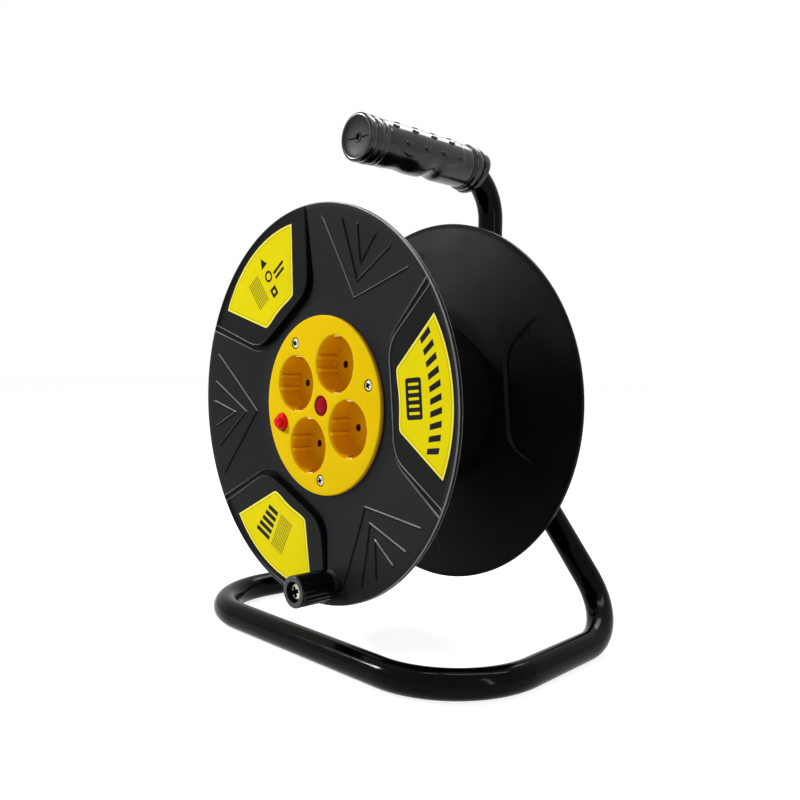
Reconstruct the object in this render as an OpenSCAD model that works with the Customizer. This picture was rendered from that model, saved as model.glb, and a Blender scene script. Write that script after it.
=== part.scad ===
// Extension cord reel: a drum with four sockets that turns on a tubular steel stand.
// +X is to the right of the socket panel, +Y points from the panel to the rear, +Z is up.
// The origin is on the floor, under the middle of the whole reel.

/* [Drum] */
// Outer diameter of both flanges
flange_d = 275; // [255:1:300]
// Width of the drum over both rims
drum_w = 125; // [115:1:150]
// Outer diameter of the winding core
core_d = 126; // [124:1:134]
// Wall of the moulded drum parts
wall = 3; // [2.5:0.1:3.5]
// Width of the flat rim, seen from the front
rim_w = 3; // [2.6:0.1:4]
// Thickness of the rim
rim_t = 3.6; // [3.4:0.1:4.4]
// Depth of the flat centre of a flange behind its rim
dish = 8.5; // [7:0.5:11]
// Diameter of the flat centre of a flange
hub_flat_d = 146; // [142:1:150]
// Width of the seat that the panel and the core share on a flange
seat_w = 6; // [5.2:0.1:6.6]

/* [Windows and labels] */
// Turn of the three raised windows about the axle
window_turn = 5.7; // [0:0.1:12]
// Distance from the axle to the inner edge of a window
window_in = 73; // [71:0.5:76]
// Half of the angle that a window spans at the rim
window_half = 30.2; // [28:0.1:32]
// Slope of a window's side edges
window_slope = 36; // [34:0.5:38]
// Radius of a window's inner corners
window_corner = 24; // [18:1:26]
// Depth of a window's lip behind the rim, at its outer end
window_z_out = 0.8; // [0.6:0.1:1]
// Depth of a window's lip behind the rim, at its inner edge
window_z_in = 4.6; // [4:0.1:5.2]
// Width of the lip around a window's face
lip_w = 1.2; // [0.8:0.1:1.8]
// Height of the lip above the face
lip_h = 0.9; // [0.6:0.1:1.1]
// Width of the groove around a window
groove_w = 3.2; // [2.4:0.1:3.6]
// Depth of that groove in the flange
groove_d = 1.2; // [0.8:0.1:1.4]
// Distance from a window's side edge to its label, at the label's inner edge
label_side = 17.9; // [16:0.1:19]
// Slope of a label's side edges
label_slope = 38; // [36:0.5:39]
// Distance from a window's inner edge to its label
label_inner = 7.6; // [6:0.2:9]
// Distance from a window's outer edge to its label
label_outer = 1.2; // [0.6:0.1:2.5]
// Radius of a label's outer edge
label_arc = 106; // [100:1:125]
// Radius of a label's inner corners
label_corner = 4; // [3:0.5:6]
// Thickness of a label plate
label_t = 0.4; // [0.3:0.1:0.6]

/* [Socket panel] */
// Height of the panel's face above the flange
panel_t = 2.5; // [2.3:0.1:3.5]
// Distance from the axle to the middle of a socket
socket_ring = 32.4; // [32:0.1:33]
// Turn of the first socket about the axle
socket_turn = 63.4; // [58:0.2:68]
// Inner diameter of a socket well
well_d = 40; // [39:0.2:41]
// Depth of a socket well
well_depth = 17.5; // [17:0.1:18.5]
// Wall of a socket well
well_wall = 1.8; // [1.6:0.1:2.2]
// Distance between the pin holes of a socket
pin_pitch = 19; // [18.5:0.1:19.5]
// Diameter of a pin hole
pin_hole_d = 5.2; // [5:0.1:5.4]
// Width of a guide rib in a well
rib_w = 5.5; // [5:0.1:6]
// Height of a guide rib above the wall of the well
rib_h = 2.8; // [2:0.1:3.2]
// Distance from the axle to a panel screw
panel_screw_ring = 52.3; // [52:0.1:52.6]
// Head diameter of a panel screw
panel_screw_d = 6.8; // [6:0.1:7]
// Diameter of the indicator lens
lens_d = 14.2; // [13:0.2:15]
// Distance from the axle to the reset button
button_ring = 47.2; // [46.8:0.1:47.6]
// Turn of the reset button about the axle
button_turn = 197.4; // [195:0.2:200]
// Diameter of the button's skirt
button_skirt_d = 12.4; // [11.6:0.1:12.8]
// Diameter of the button's cap
button_cap_d = 8; // [7:0.1:9]
// How far the cap stands in front of the panel
button_proud = 5; // [4.5:0.5:6]
// Travel of the button
button_travel = 2.5; // [2:0.1:2.8]

/* [Winding knob] */
// Diameter of the knob
knob_d = 22; // [20:0.5:24]
// Length of the knob
knob_l = 27; // [24:1:32]
// Distance from the knob's axis to the edge of the flange
knob_inset = 14.5; // [14:0.5:17]
// Turn of the knob about the axle
knob_turn = -81.8; // [-84:0.2:-81]
// Diameter of the knob's pin
knob_pin_d = 8; // [7:0.5:9]

/* [Stand] */
// Height of the axle above the floor
axle_h = 174.7; // [172:1:195]
// Outer diameter of the steel tube
tube_d = 20; // [19:0.5:22]
// Wall of the steel tube
tube_wall = 1.5; // [1.2:0.1:2]
// Width of the stand at the front, between tube axes
stand_w_front = 302; // [290:1:320]
// Width of the stand at the rear, between tube axes
stand_w_rear = 274; // [264:1:286]
// Distance from the front bar's axis to the front rim
bar_ahead = 7; // [4:0.5:12]
// Distance from the rear rim to the mast's axis
mast_behind = 54; // [50:1:60]
// Bend radius of the front corners
bend_front = 65; // [55:1:70]
// Bend radius of the rear corners
bend_rear = 50; // [42:1:55]
// How far the legs' axes cross below the axle
leg_drop = 3; // [0:0.5:6]
// Height of the handle's axis above the axle, over the front rim
handle_rise = 188.3; // [180:0.5:200]
// Fall of the handle towards the mast
handle_fall = 1.4; // [0.5:0.1:2.5]
// Bend radius between mast and handle
handle_bend = 38; // [35:1:42]
// Distance from the front rim back to the grip's front face
grip_back = 35; // [30:1:42]
// Diameter of the grip
grip_d = 34; // [32:0.5:37]
// Arc of the bend that the grip's rear collar covers
grip_arc = 24; // [20:1:28]

/* [Axle] */
// Diameter of the axle
axle_d = 16; // [15:0.5:17]
// Wall of a bearing bush
bush_wall = 3; // [2.6:0.1:3.4]
// Running clearance between axle and bush
run_gap = 0.08; // [0.05:0.01:0.1]
// Depth of the core's inner web behind the front rim
web_z = 60; // [58.5:0.5:64]
// Thickness of the axle bracket
bracket_t = 5; // [4:0.5:6]
// Thickness of the thrust washer
washer_t = 1.5; // [1.2:0.1:2]

/* [Cord entry] */
// Diameter of the cord that the grommet takes
cord_d = 9; // [8:0.5:10]
// Turn of the cord entry about the axle
cord_turn = -60; // [-66:1:-54]
// Depth of the cord entry behind the front rim
cord_z = 51; // [50:0.5:52]

/* [Hidden] */
$fn = 96;

// Clearances
fit_gap = 0.1;      // around pieces that are pushed into each other and stay there
loose_gap = 0.4;    // between pieces that move past each other
weld_gap = 0.2;     // between tubes that are welded together
seam = 0.02;        // by how much one of two shapes that are fused stays inside the other
seam_lap = 0.5;     // how far fused shapes run into each other
arc_steps = 8;      // straight steps in the round corner of a window or label
cut = 1;            // how far a cutting shape runs past what it cuts

// Cross recess of a screw, as shares of the head's diameter and height
cross_l = 0.62;
cross_w = 0.16;
cross_deep = 0.6;

// Flanges, in the drum's own frame: z is the depth behind the front rim
flange_r = flange_d / 2;
rim_in_r = flange_r - rim_w;
core_r = core_d / 2;
opening_r = core_r - seat_w;
hub_flat_r = hub_flat_d / 2;
inner_z = dish + wall;
window_r = rim_in_r - 1.5;
groove_r = rim_in_r + 0.3;
window_fall = (window_z_in - window_z_out) / (window_r - window_in);
window_turns = [window_turn, window_turn + 120, window_turn + 240];
pocket_wall = wall;
label_bite = 1;        // how far the curve of a label's inner edge cuts into it

// Socket panel
panel_z = dish - panel_t;
panel_r = core_r - 0.4;
panel_back_z = dish + 2;
panel_edge = 2;
well_r = well_d / 2;
well_back_z = panel_z + well_depth + wall;
well_out_r = well_r + well_wall;
sockets = [for (k = [0:3]) socket_ring * [cos(socket_turn + 90 * k), sin(socket_turn + 90 * k)]];
pins = [-pin_pitch / 2, pin_pitch / 2];
panel_screw_turns = [17.7, 124.6, 270.2];
panel_screw_head = 1.6;
panel_screw_shank = 3;
panel_screw_proud = 0.4;
post_screw_l = 14;
rib_z = panel_z + 1;
lens_sink = 0.6;
lens_flange_t = 1.6;
lens_stem_d = lens_d - 2;
lens_stem_l = 5;
button_at = button_ring * [cos(button_turn), sin(button_turn)];
button_skirt_proud = 2;
button_skirt_back = panel_back_z + 0.6;
button_stem_d = 5;
button_stem_l = 8;

// Contacts
carrier_t = 10;
carrier_back_z = well_back_z + carrier_t;
carrier_pad_r = well_r - 1;
carrier_hub_r = 20;
sleeve_wall = 0.9;
sleeve_z = well_back_z + 0.3;
sleeve_in_r = pin_hole_d / 2 - 0.15;
sleeve_r = sleeve_in_r + sleeve_wall;
strip_w = 4;
strip_t = 1.2;
live_z = carrier_back_z;
neutral_z = carrier_back_z + 4;
clip_w = 6;
clip_t = 0.8;
clip_y = well_r - 0.6;
clip_z = panel_z + 2;
lamp_r = 3;
lamp_lead = [0.8, 0.8, 4];
lamp_lead_at = 1.3;
lamp_z = panel_z + lens_sink + lens_flange_t + lens_stem_l + 0.4;

// Thermal cut-out
cutout_size = [12, 15];
cutout_z = button_skirt_back + button_travel + 0.6;
cutout_l = 26;
cutout_ear = [4, 1.2];
cutout_ear_at = cutout_size.y / 2 - 0.4;
cutout_tab = [4, 0.8, 5];
cutout_tab_at = 4;

// Core
core_len = drum_w - 2 * inner_z;
web_t = wall;
web_window_r = 12;
web_window_ring = 36;
web_window_turns = [90, 162, 234];
hub_wall = 4;
post_r = 4.4;
rear_posts = 6;
rear_post_ring = core_r - wall - 4;
flange_screw_d = 7;
flange_screw_head = 2;

// Cord entry: grommet, clamp and terminal block
grommet_neck_r = cord_d / 2 + 1.5;
grommet_lip = 1.5;
grommet_lip_t = 1.2;
grommet_lip_gap = 0.4;
grommet_l = wall + 2 * (grommet_lip_t + grommet_lip_gap);
clamp_size = [8, 26];
clamp_ring = core_r - wall - 15;
clamp_roof = 2.5;
clamp_grip = 2;        // how far the clamp bends the cord towards the web
clamp_z = cord_z + clamp_grip - cord_d / 2 - clamp_roof;
clamp_screw_at = 9;
clamp_screw_d = 3;
clamp_screw_head = [5.6, 2];
terminal_size = [12, 26, 9];
terminal_ring = 40;
terminal_pitch = 8;
terminal_hole_d = 3;
terminal_hole_z = 5;
terminal_screw_hole = 3;

// Axle line
axle_r = axle_d / 2;
bush_in_r = axle_r + run_gap;
bush_r = bush_in_r + bush_wall;
bush_l = 14;
bush_flange_t = 1.5;
bush_flange_w = 3;
hub_l = bush_l + 4;
hub_r = bush_r + fit_gap + hub_wall;
hub_back_z = drum_w + 1;
mast_z = drum_w + mast_behind;
bracket_z = mast_z - tube_d / 2 - bracket_t;
axle_front_z = web_z - bush_flange_t - loose_gap;
spacer_z = hub_back_z + bush_flange_t + loose_gap + washer_t;
spacer_wall = 4;
screw_head_r = 6.5;
screw_head_t = 5;
screw_shank_r = 4;
screw_l = 18;
screw_hex_r = 3.4;
screw_hex_deep = 3;
bracket_half_w = 34;
bracket_up = 40;
bracket_down = 34;
bracket_corner = 12;

// Knob
knob_ring = flange_r - knob_inset;
knob_at = knob_ring * [cos(knob_turn), sin(knob_turn)];
knob_boss_r = 8;
knob_boss_z = -2;
knob_rear_z = knob_boss_z - loose_gap;
knob_front_z = knob_rear_z - knob_l;
knob_recess_r = 7;
knob_recess_l = 5;
knob_flutes = 20;
flute_r = 1.3;
flute_ring = knob_d / 2 + 0.5;
flute_start = 3;
knob_head_d = knob_pin_d + 4;
knob_head_t = 3;
knob_shoulder_l = knob_l - knob_recess_l + 2 * loose_gap;
knob_thread_d = 5;
knob_nut_z = rim_t + 3;
knob_nut_t = 4;
knob_nut_d = 10;

// Stand, in the reel's own frame
tube_r = tube_d / 2;
mast_below = 24;        // length of the mast below the point where the legs meet
rim_y = (-knob_front_z - mast_z - tube_r) / 2;
mast_y = rim_y + mast_z;
bar_y = rim_y - bar_ahead;
leg_top = [0, mast_y, axle_h - leg_drop];
corner_fr = [stand_w_front / 2, bar_y, tube_r];
corner_rr = [stand_w_rear / 2, mast_y, tube_r];
mast_bottom = leg_top.z - mast_below;
handle_top_y = rim_y + grip_back;
handle_z = axle_h + handle_rise;
handle_dir = [0, cos(handle_fall), -sin(handle_fall)];
grip_front = [0, handle_top_y, handle_z - grip_back * tan(handle_fall)];
handle_corner = [0, mast_y, handle_z - mast_z * tan(handle_fall)];
mast_bottom_point = [0, mast_y, mast_bottom];
grip_end_wall = 4;
grip_vent_d = 4.6;
grip_belly = 0.6;
grip_neck = 0.8;
grip_neck_l = 2;
wave_r = 26;
wave_depth = 2.2;
wave_at = [30, 58, 86];
grip_r = grip_d / 2;
handle_len = norm(handle_corner - grip_front);
handle_tangent = handle_bend * tan((90 - handle_fall) / 2);
grip_straight = handle_len - handle_tangent;

// Points along the grip's front end, as [distance from the front face, depth below the full radius]
grip_profile = [[0, 1], [1.5, 0], [5, 0], [5.6, 0.9], [7.4, 0.9], [8, 0.2], [12, 0.2], [13, 1.2],
                [15, 1.2], [17, 0.2]];

// ---- Shared shapes ----

function unit(v) = v / norm(v);

// Length that a bend of radius r takes from each leg of the corner a-b-c
function tangent_len(a, b, c, r) = r * tan(acos(unit(b - a) * unit(c - b)) / 2);

// Straight round bar from a to b
module bar(a, b, r) {
    d = unit(b - a);
    translate(a)
        rotate([0, acos(d.z), atan2(d.y, d.x)])
            cylinder(r = r, h = norm(b - a));
}

// Round bend of a bar that runs a-b-c; sweep limits how much of the turn is made
module bend(a, b, c, bend_r, r, sweep = 360) {
    u = unit(b - a);
    v = unit(c - b);
    turn = acos(u * v);
    n = unit(cross(u, v));
    side = cross(n, u);
    centre = b - u * bend_r * tan(turn / 2) + side * bend_r;
    multmatrix([[-side.x, u.x, n.x, centre.x],
                [-side.y, u.y, n.y, centre.y],
                [-side.z, u.z, n.z, centre.z],
                [0, 0, 0, 1]])
        rotate_extrude(angle = min(turn, sweep))
            translate([bend_r, 0])
                circle(r = r);
}

// Bar along the points, with a bend of the given radius at each inner point
module bent_bar(points, bends, r) {
    last = len(points) - 1;
    trims = [for (i = [0:last])
        i == 0 || i == last ? 0 : tangent_len(points[i - 1], points[i], points[i + 1], bends[i - 1])];
    for (i = [0:last - 1]) {
        d = unit(points[i + 1] - points[i]);
        start = i == 0 ? 0 : trims[i] - seam_lap;
        end = i == last - 1 ? 0 : trims[i + 1] - seam_lap;
        bar(points[i] + d * start, points[i + 1] - d * end, r - seam);
    }
    for (i = [1:last - 1])
        bend(points[i - 1], points[i], points[i + 1], bends[i - 1], r);
}

// Puts drum shapes in place: x to the right, y up, z the depth behind the front rim
module on_axle()
    translate([0, rim_y, axle_h]) rotate([90, 0, 0]) mirror([0, 0, 1]) children();

module ring(r_out, r_in, h)
    difference() {
        cylinder(r = r_out, h = h);
        translate([0, 0, -cut]) cylinder(r = r_in, h = h + 2 * cut);
    }

// Screw with a cross recess, head towards the front, its seat at z = 0
module cross_screw(head_d, head_t, shank_d, length) {
    slot = head_d * [cross_l, cross_w];
    difference() {
        union() {
            translate([0, 0, -head_t]) cylinder(d = head_d, h = head_t);
            cylinder(d = shank_d, h = length);
        }
        for (a = [0, 90])
            rotate(a) translate([-slot.x / 2, -slot.y / 2, -head_t - cut])
                cube([slot.x, slot.y, head_t * cross_deep + cut]);
    }
}

// ---- Stand ----

module loop_path(r)
    bent_bar([[0, leg_top.y, leg_top.z],
              [-corner_rr.x, corner_rr.y, corner_rr.z],
              [-corner_fr.x, corner_fr.y, corner_fr.z],
              corner_fr, corner_rr, leg_top],
             [bend_rear, bend_front, bend_front, bend_rear], r);

module floor_loop()
    color("#16171a")
        difference() {
            loop_path(tube_r);
            loop_path(tube_r - tube_wall);
            translate([0, mast_y, mast_bottom - tube_d])
                cylinder(r = tube_r + weld_gap, h = 4 * tube_d);
        }

module handle_path(r, front, bottom)
    bent_bar([front, handle_corner, [0, mast_y, bottom]], [handle_bend], r);

module handle_tube()
    color("#16171a")
        difference() {
            handle_path(tube_r, grip_front + handle_dir * (grip_end_wall + fit_gap), mast_bottom);
            handle_path(tube_r - tube_wall, grip_front, mast_bottom - cut);
        }

module grip_body()
    rotate_extrude()
        polygon(concat([[0, 0]], [for (p = grip_profile) [grip_r - p.y, p.x]],
                       [[grip_r + grip_belly, grip_straight / 2],
                        [grip_r - grip_neck, grip_straight - grip_neck_l],
                        [grip_r - grip_neck, grip_straight + seam_lap],
                        [0, grip_straight + seam_lap]]));

module handle_grip()
    color("#101113")
        difference() {
            union() {
                translate(grip_front) rotate([-90 - handle_fall, 0, 0])
                    difference() {
                        grip_body();
                        grip_waves();
                    }
                bend(grip_front, handle_corner, mast_bottom_point, handle_bend, grip_r, grip_arc);
            }
            handle_path(tube_r + fit_gap, grip_front + handle_dir * grip_end_wall, mast_bottom);
            translate(grip_front - handle_dir) rotate([-90 - handle_fall, 0, 0])
                cylinder(d = grip_vent_d, h = grip_end_wall + 3 * cut);
        }

// Hollows for the fingers, on the underside
module grip_waves()
    for (z = wave_at)
        translate([-grip_d, grip_r + wave_r - wave_depth, z]) rotate([0, 90, 0])
            cylinder(r = wave_r, h = 2 * grip_d);

// Plate in front of the mast and the two legs, which are welded to it
module axle_bracket()
    color("#1b1c1f")
        on_axle()
            translate([0, 0, bracket_z])
                difference() {
                    union() {
                        linear_extrude(height = bracket_t)
                            polygon([[-bracket_corner, bracket_up - bracket_corner],
                                     [bracket_corner, bracket_up - bracket_corner],
                                     [bracket_half_w, bracket_corner - bracket_down],
                                     [bracket_half_w - bracket_corner, -bracket_down],
                                     [bracket_corner - bracket_half_w, -bracket_down],
                                     [-bracket_half_w, bracket_corner - bracket_down]]);
                        translate([0, bracket_up - bracket_corner, 0])
                            cylinder(r = bracket_corner, h = bracket_t);
                        for (s = [-1, 1])
                            translate([s * (bracket_half_w - bracket_corner),
                                       bracket_corner - bracket_down, 0])
                                cylinder(r = bracket_corner, h = bracket_t);
                    }
                    translate([0, 0, -cut]) cylinder(r = axle_r + fit_gap, h = bracket_t + 2 * cut);
                }

// Axle: pressed through the bracket, with a threaded hole in its front end
module axle()
    color("#9a9da1")
        on_axle()
            translate([0, 0, axle_front_z])
                difference() {
                    cylinder(r = axle_r, h = bracket_z + bracket_t - axle_front_z);
                    translate([0, 0, -cut]) cylinder(r = screw_shank_r + fit_gap, h = screw_l + 2);
                }

module thrust_washer()
    color("#b9bcc0")
        on_axle()
            translate([0, 0, hub_back_z + bush_flange_t + loose_gap])
                ring(bush_r + bush_flange_w, axle_r + fit_gap, washer_t);

module axle_spacer()
    color("#1b1c1f")
        on_axle()
            translate([0, 0, spacer_z])
                ring(axle_r + spacer_wall, axle_r + fit_gap, bracket_z - spacer_z);

module retaining_washer()
    color("#b9bcc0")
        on_axle()
            translate([0, 0, axle_front_z - washer_t])
                ring(bush_r + 1, screw_shank_r + fit_gap, washer_t);

module axle_screw()
    color("#b9bcc0")
        on_axle()
            translate([0, 0, axle_front_z - washer_t]) {
                difference() {
                    translate([0, 0, -screw_head_t]) cylinder(r = screw_head_r, h = screw_head_t);
                    translate([0, 0, -screw_head_t - cut])
                        cylinder(r = screw_hex_r, h = screw_hex_deep + cut, $fn = 6);
                }
                cylinder(r = screw_shank_r, h = screw_l);
            }

// ---- Drum ----

// Points of an arc about c, from angle a to angle b
function arc_points(c, r, a, b) =
    [for (i = [0:arc_steps]) c + r * [cos(a + (b - a) * i / arc_steps), sin(a + (b - a) * i / arc_steps)]];

// Points of a shape that widens from x0 outwards, its middle on +x, with round inner corners
function wedge(x0, y0, slope, corner) =
    let (centre = [x0 + corner, y0 - corner * tan((90 - slope) / 2)],
         upper = concat([[flange_r, y0 + (flange_r - x0) * tan(slope)]],
                        arc_points(centre, corner, 90 + slope, 180)),
         last = len(upper) - 1)
    concat(upper, [for (i = [0:last]) [upper[last - i].x, -upper[last - i].y]]);

// Height of a window's side edge above the middle of the window
function side_y(x) = window_r * sin(window_half) + (x - window_r * cos(window_half)) * tan(window_slope);

// Outline of a window, seen from the front, its middle on +x. The margin moves its edges inwards.
module window_shape(margin, outer_r) {
    x0 = window_in + margin;
    intersection() {
        circle(r = outer_r);
        polygon(wedge(x0, side_y(x0) - margin / cos(window_slope), window_slope, window_corner - margin));
    }
}

module label_shape() {
    x0 = window_in + label_inner;
    difference() {
        intersection() {
            translate([window_r - label_outer - label_arc, 0]) circle(r = label_arc);
            polygon(wedge(x0, side_y(x0) - label_side / cos(window_slope), label_slope, label_corner));
        }
        circle(r = x0 + label_bite);
    }
}

// Everything behind the cone of the windows' lips, which is moved back by z
module behind_face(z)
    translate([0, 0, window_z_out + z])
        rotate_extrude()
            polygon([[0, window_fall * window_r], [2 * window_r, -window_fall * window_r],
                     [2 * window_r, 4 * inner_z], [0, 4 * inner_z]]);

// Everything in front of the windows' faces
module before_face()
    translate([0, 0, window_z_out + lip_h])
        rotate_extrude()
            polygon([[0, window_fall * window_r], [2 * window_r, -window_fall * window_r],
                     [2 * window_r, -inner_z], [0, -inner_z]]);

// Everything in front of a flange's back face
module flange_envelope()
    rotate_extrude()
        polygon([[0, -cut], [flange_r, -cut], [flange_r, rim_t - seam], [rim_in_r, rim_t - seam],
                 [hub_flat_r, inner_z - seam], [0, inner_z - seam]]);

// Everything in front of the floor of the windows' grooves
module groove_envelope()
    rotate_extrude()
        polygon([[0, -cut], [flange_r, -cut], [flange_r, groove_d], [rim_in_r, groove_d],
                 [hub_flat_r, dish + groove_d], [0, dish + groove_d]]);

// Dished disc with three windows. Each is hollow behind, and has a groove and a lip around its face.
module flange_shell(hole_r) {
    difference() {
        union() {
            difference() {
                rotate_extrude()
                    polygon([[hole_r, dish], [hub_flat_r, dish], [rim_in_r, 0], [flange_r, 0],
                             [flange_r, rim_t], [rim_in_r, rim_t], [hub_flat_r, inner_z],
                             [hole_r, inner_z]]);
                intersection() {
                    groove_envelope();
                    for (a = window_turns)
                        rotate(a) translate([0, 0, -cut])
                            linear_extrude(height = 2 * inner_z) window_shape(-groove_w, groove_r);
                }
            }
            intersection() {
                flange_envelope();
                for (a = window_turns)
                    rotate(a) intersection() {
                        linear_extrude(height = inner_z) window_shape(0, groove_r + seam_lap);
                        behind_face(0);
                    }
            }
        }
        for (a = window_turns)
            rotate(a) {
                intersection() {
                    linear_extrude(height = inner_z) window_shape(lip_w, window_r);
                    before_face();
                }
                intersection() {
                    linear_extrude(height = 3 * inner_z)
                        window_shape(pocket_wall, window_r - pocket_wall);
                    behind_face(lip_h + wall);
                }
            }
    }
}

module front_flange()
    color("#2f3031")
        on_axle()
            difference() {
                union() {
                    flange_shell(opening_r);
                    translate([knob_at.x, knob_at.y, knob_boss_z])
                        cylinder(r = knob_boss_r, h = knob_nut_z - knob_boss_z);
                }
                translate([knob_at.x, knob_at.y, knob_boss_z - cut])
                    cylinder(d = knob_thread_d + 2 * fit_gap, h = 2 * inner_z);
            }

module flange_screw_places(ring_r)
    for (k = [0:rear_posts - 1])
        rotate(360 / rear_posts * (k + 0.5)) translate([ring_r, 0, 0]) children();

// The same disc as the front one, mirrored, with the hub for the rear bush
module rear_flange()
    color("#2b2c2e")
        on_axle()
            difference() {
                union() {
                    translate([0, 0, drum_w]) mirror([0, 0, 1]) flange_shell(bush_r + fit_gap);
                    translate([0, 0, drum_w - inner_z])
                        cylinder(r = hub_r, h = hub_back_z - drum_w + inner_z);
                }
                translate([0, 0, drum_w - inner_z - cut])
                    cylinder(r = bush_r + fit_gap, h = 2 * inner_z);
                translate([0, 0, drum_w - inner_z - cut])
                    flange_screw_places(rear_post_ring)
                        cylinder(d = panel_screw_shank + 2 * fit_gap, h = inner_z);
            }

module flange_screws()
    color("#b9bcc0")
        on_axle()
            translate([0, 0, drum_w - dish])
                mirror([0, 0, 1])
                    flange_screw_places(rear_post_ring)
                        cross_screw(flange_screw_d, flange_screw_head, panel_screw_shank, post_screw_l);

module screw_posts(r)
    for (a = panel_screw_turns)
        rotate(a) translate([panel_screw_ring, 0, 0]) cylinder(r = r, h = drum_w);

// Winding core: a tube with a web and hub for the front bush, and posts for the screws
module drum_core()
    color("#26272a")
        on_axle()
            difference() {
                union() {
                    translate([0, 0, inner_z]) ring(core_r, core_r - wall, core_len);
                    translate([0, 0, web_z]) cylinder(r = core_r - wall / 2, h = web_t);
                    translate([0, 0, web_z]) cylinder(r = hub_r, h = hub_l);
                    intersection() {
                        translate([0, 0, panel_back_z])
                            cylinder(r = opening_r - fit_gap, h = web_z - panel_back_z + cut);
                        screw_posts(post_r);
                    }
                    translate([0, 0, web_z])
                        flange_screw_places(rear_post_ring)
                            cylinder(r = post_r, h = drum_w - inner_z - web_z);
                }
                translate([0, 0, web_z - cut]) cylinder(r = bush_r + fit_gap, h = hub_l + 2 * cut);
                translate([0, 0, panel_back_z - cut])
                    for (a = panel_screw_turns)
                        rotate(a) translate([panel_screw_ring, 0, 0])
                            cylinder(d = panel_screw_shank + 2 * fit_gap, h = post_screw_l + 2 * cut);
                translate([0, 0, drum_w - inner_z - post_screw_l])
                    flange_screw_places(rear_post_ring)
                        cylinder(d = panel_screw_shank + 2 * fit_gap, h = post_screw_l + cut);
                for (a = web_window_turns)
                    rotate(a) translate([web_window_ring, 0, web_z - cut])
                        cylinder(r = web_window_r, h = web_t + 2 * cut);
                rotate(cord_turn) translate([core_r - 3 * wall, 0, cord_z]) rotate([0, 90, 0])
                    cylinder(r = grommet_neck_r + fit_gap, h = 6 * wall);
                clamp_screw_places() cylinder(d = clamp_screw_d + 2 * fit_gap, h = drum_w);
            }

module bush()
    difference() {
        union() {
            cylinder(r = bush_r, h = bush_l);
            cylinder(r = bush_r + bush_flange_w, h = bush_flange_t);
        }
        translate([0, 0, -cut]) cylinder(r = bush_in_r, h = bush_l + 2 * cut);
    }

module front_bush()
    color("#e6e4dc")
        on_axle() translate([0, 0, web_z - bush_flange_t]) bush();

module rear_bush()
    color("#e6e4dc")
        on_axle() translate([0, 0, hub_back_z + bush_flange_t]) mirror([0, 0, 1]) bush();

module label_plate(turn)
    color("#ede31a")
        on_axle()
            rotate(turn) difference() {
                intersection() {
                    linear_extrude(height = inner_z) label_shape();
                    behind_face(lip_h - label_t);
                }
                behind_face(lip_h);
            }

module label_right() label_plate(window_turns[0]);
module label_upper() label_plate(window_turns[1]);
module label_lower() label_plate(window_turns[2]);

// ---- Socket panel and what is behind it ----

module at_sockets()
    for (s = sockets) translate([s.x, s.y, 0]) children();

module socket_panel()
    color("#efc60c")
        on_axle()
            difference() {
                union() {
                    translate([0, 0, panel_z]) panel_disc();
                    translate([0, 0, dish]) cylinder(r = opening_r - fit_gap, h = panel_back_z - dish);
                    at_sockets() translate([0, 0, dish]) cylinder(r = well_out_r, h = well_back_z - dish);
                }
                at_sockets() well_cut();
                lens_cut();
                translate([button_at.x, button_at.y, panel_z - cut])
                    cylinder(d = button_skirt_d + 2 * loose_gap, h = panel_back_z);
                translate([0, 0, panel_z - cut])
                    for (a = panel_screw_turns)
                        rotate(a) translate([panel_screw_ring, 0, 0]) {
                            cylinder(d = panel_screw_shank + 2 * fit_gap, h = panel_back_z);
                            cylinder(d = panel_screw_d + 2 * fit_gap,
                                     h = cut + panel_screw_head - panel_screw_proud);
                        }
            }

// Face disc with a rounded edge
module panel_disc()
    rotate_extrude()
        intersection() {
            square([panel_r, panel_t]);
            union() {
                translate([panel_r - panel_edge, panel_edge]) circle(r = panel_edge);
                square([panel_r - panel_edge, panel_t]);
                translate([0, panel_edge]) square([panel_r, panel_t]);
            }
        }

// What one socket takes out of the panel: the well between its ribs, pin holes and clip slots
module well_cut() {
    difference() {
        translate([0, 0, panel_z - cut]) cylinder(r = well_r, h = well_depth + cut);
        for (s = [-1, 1])
            translate([s * well_r - rib_h, -rib_w / 2, rib_z]) cube([2 * rib_h, rib_w, well_depth]);
    }
    for (x = pins)
        translate([x, 0, panel_z]) cylinder(d = pin_hole_d, h = well_back_z);
    for (s = [-1, 1])
        translate([-clip_w / 2 - fit_gap, s * clip_y - clip_t / 2 - fit_gap, panel_z + well_depth - cut])
            cube([clip_w + 2 * fit_gap, clip_t + 2 * fit_gap, wall + 2 * cut]);
}

module lens_cut() {
    translate([0, 0, panel_z - cut])
        cylinder(d = lens_d + 2 * fit_gap, h = cut + lens_sink + lens_flange_t);
    translate([0, 0, panel_z]) cylinder(d = lens_stem_d + 2 * fit_gap, h = panel_back_z);
}

module panel_screws()
    color("#c9ccd0")
        on_axle()
            for (a = panel_screw_turns)
                rotate(a) translate([panel_screw_ring, 0, panel_z + panel_screw_head - panel_screw_proud])
                    cross_screw(panel_screw_d, panel_screw_head, panel_screw_shank, post_screw_l);

// One bent strip for each socket: two springs in the well and a bridge behind its floor
module earth_clips()
    color("#c8a24a")
        on_axle()
            at_sockets() {
                for (s = [-1, 1])
                    translate([-clip_w / 2, s * clip_y - clip_t / 2, clip_z])
                        cube([clip_w, clip_t, well_back_z - clip_z + clip_t]);
                translate([-clip_w / 2, -clip_y - clip_t / 2, well_back_z])
                    cube([clip_w, 2 * clip_y + clip_t, clip_t]);
            }

module pin_places(x)
    for (s = sockets) translate([s.x + x, s.y, 0]) children();

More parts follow.
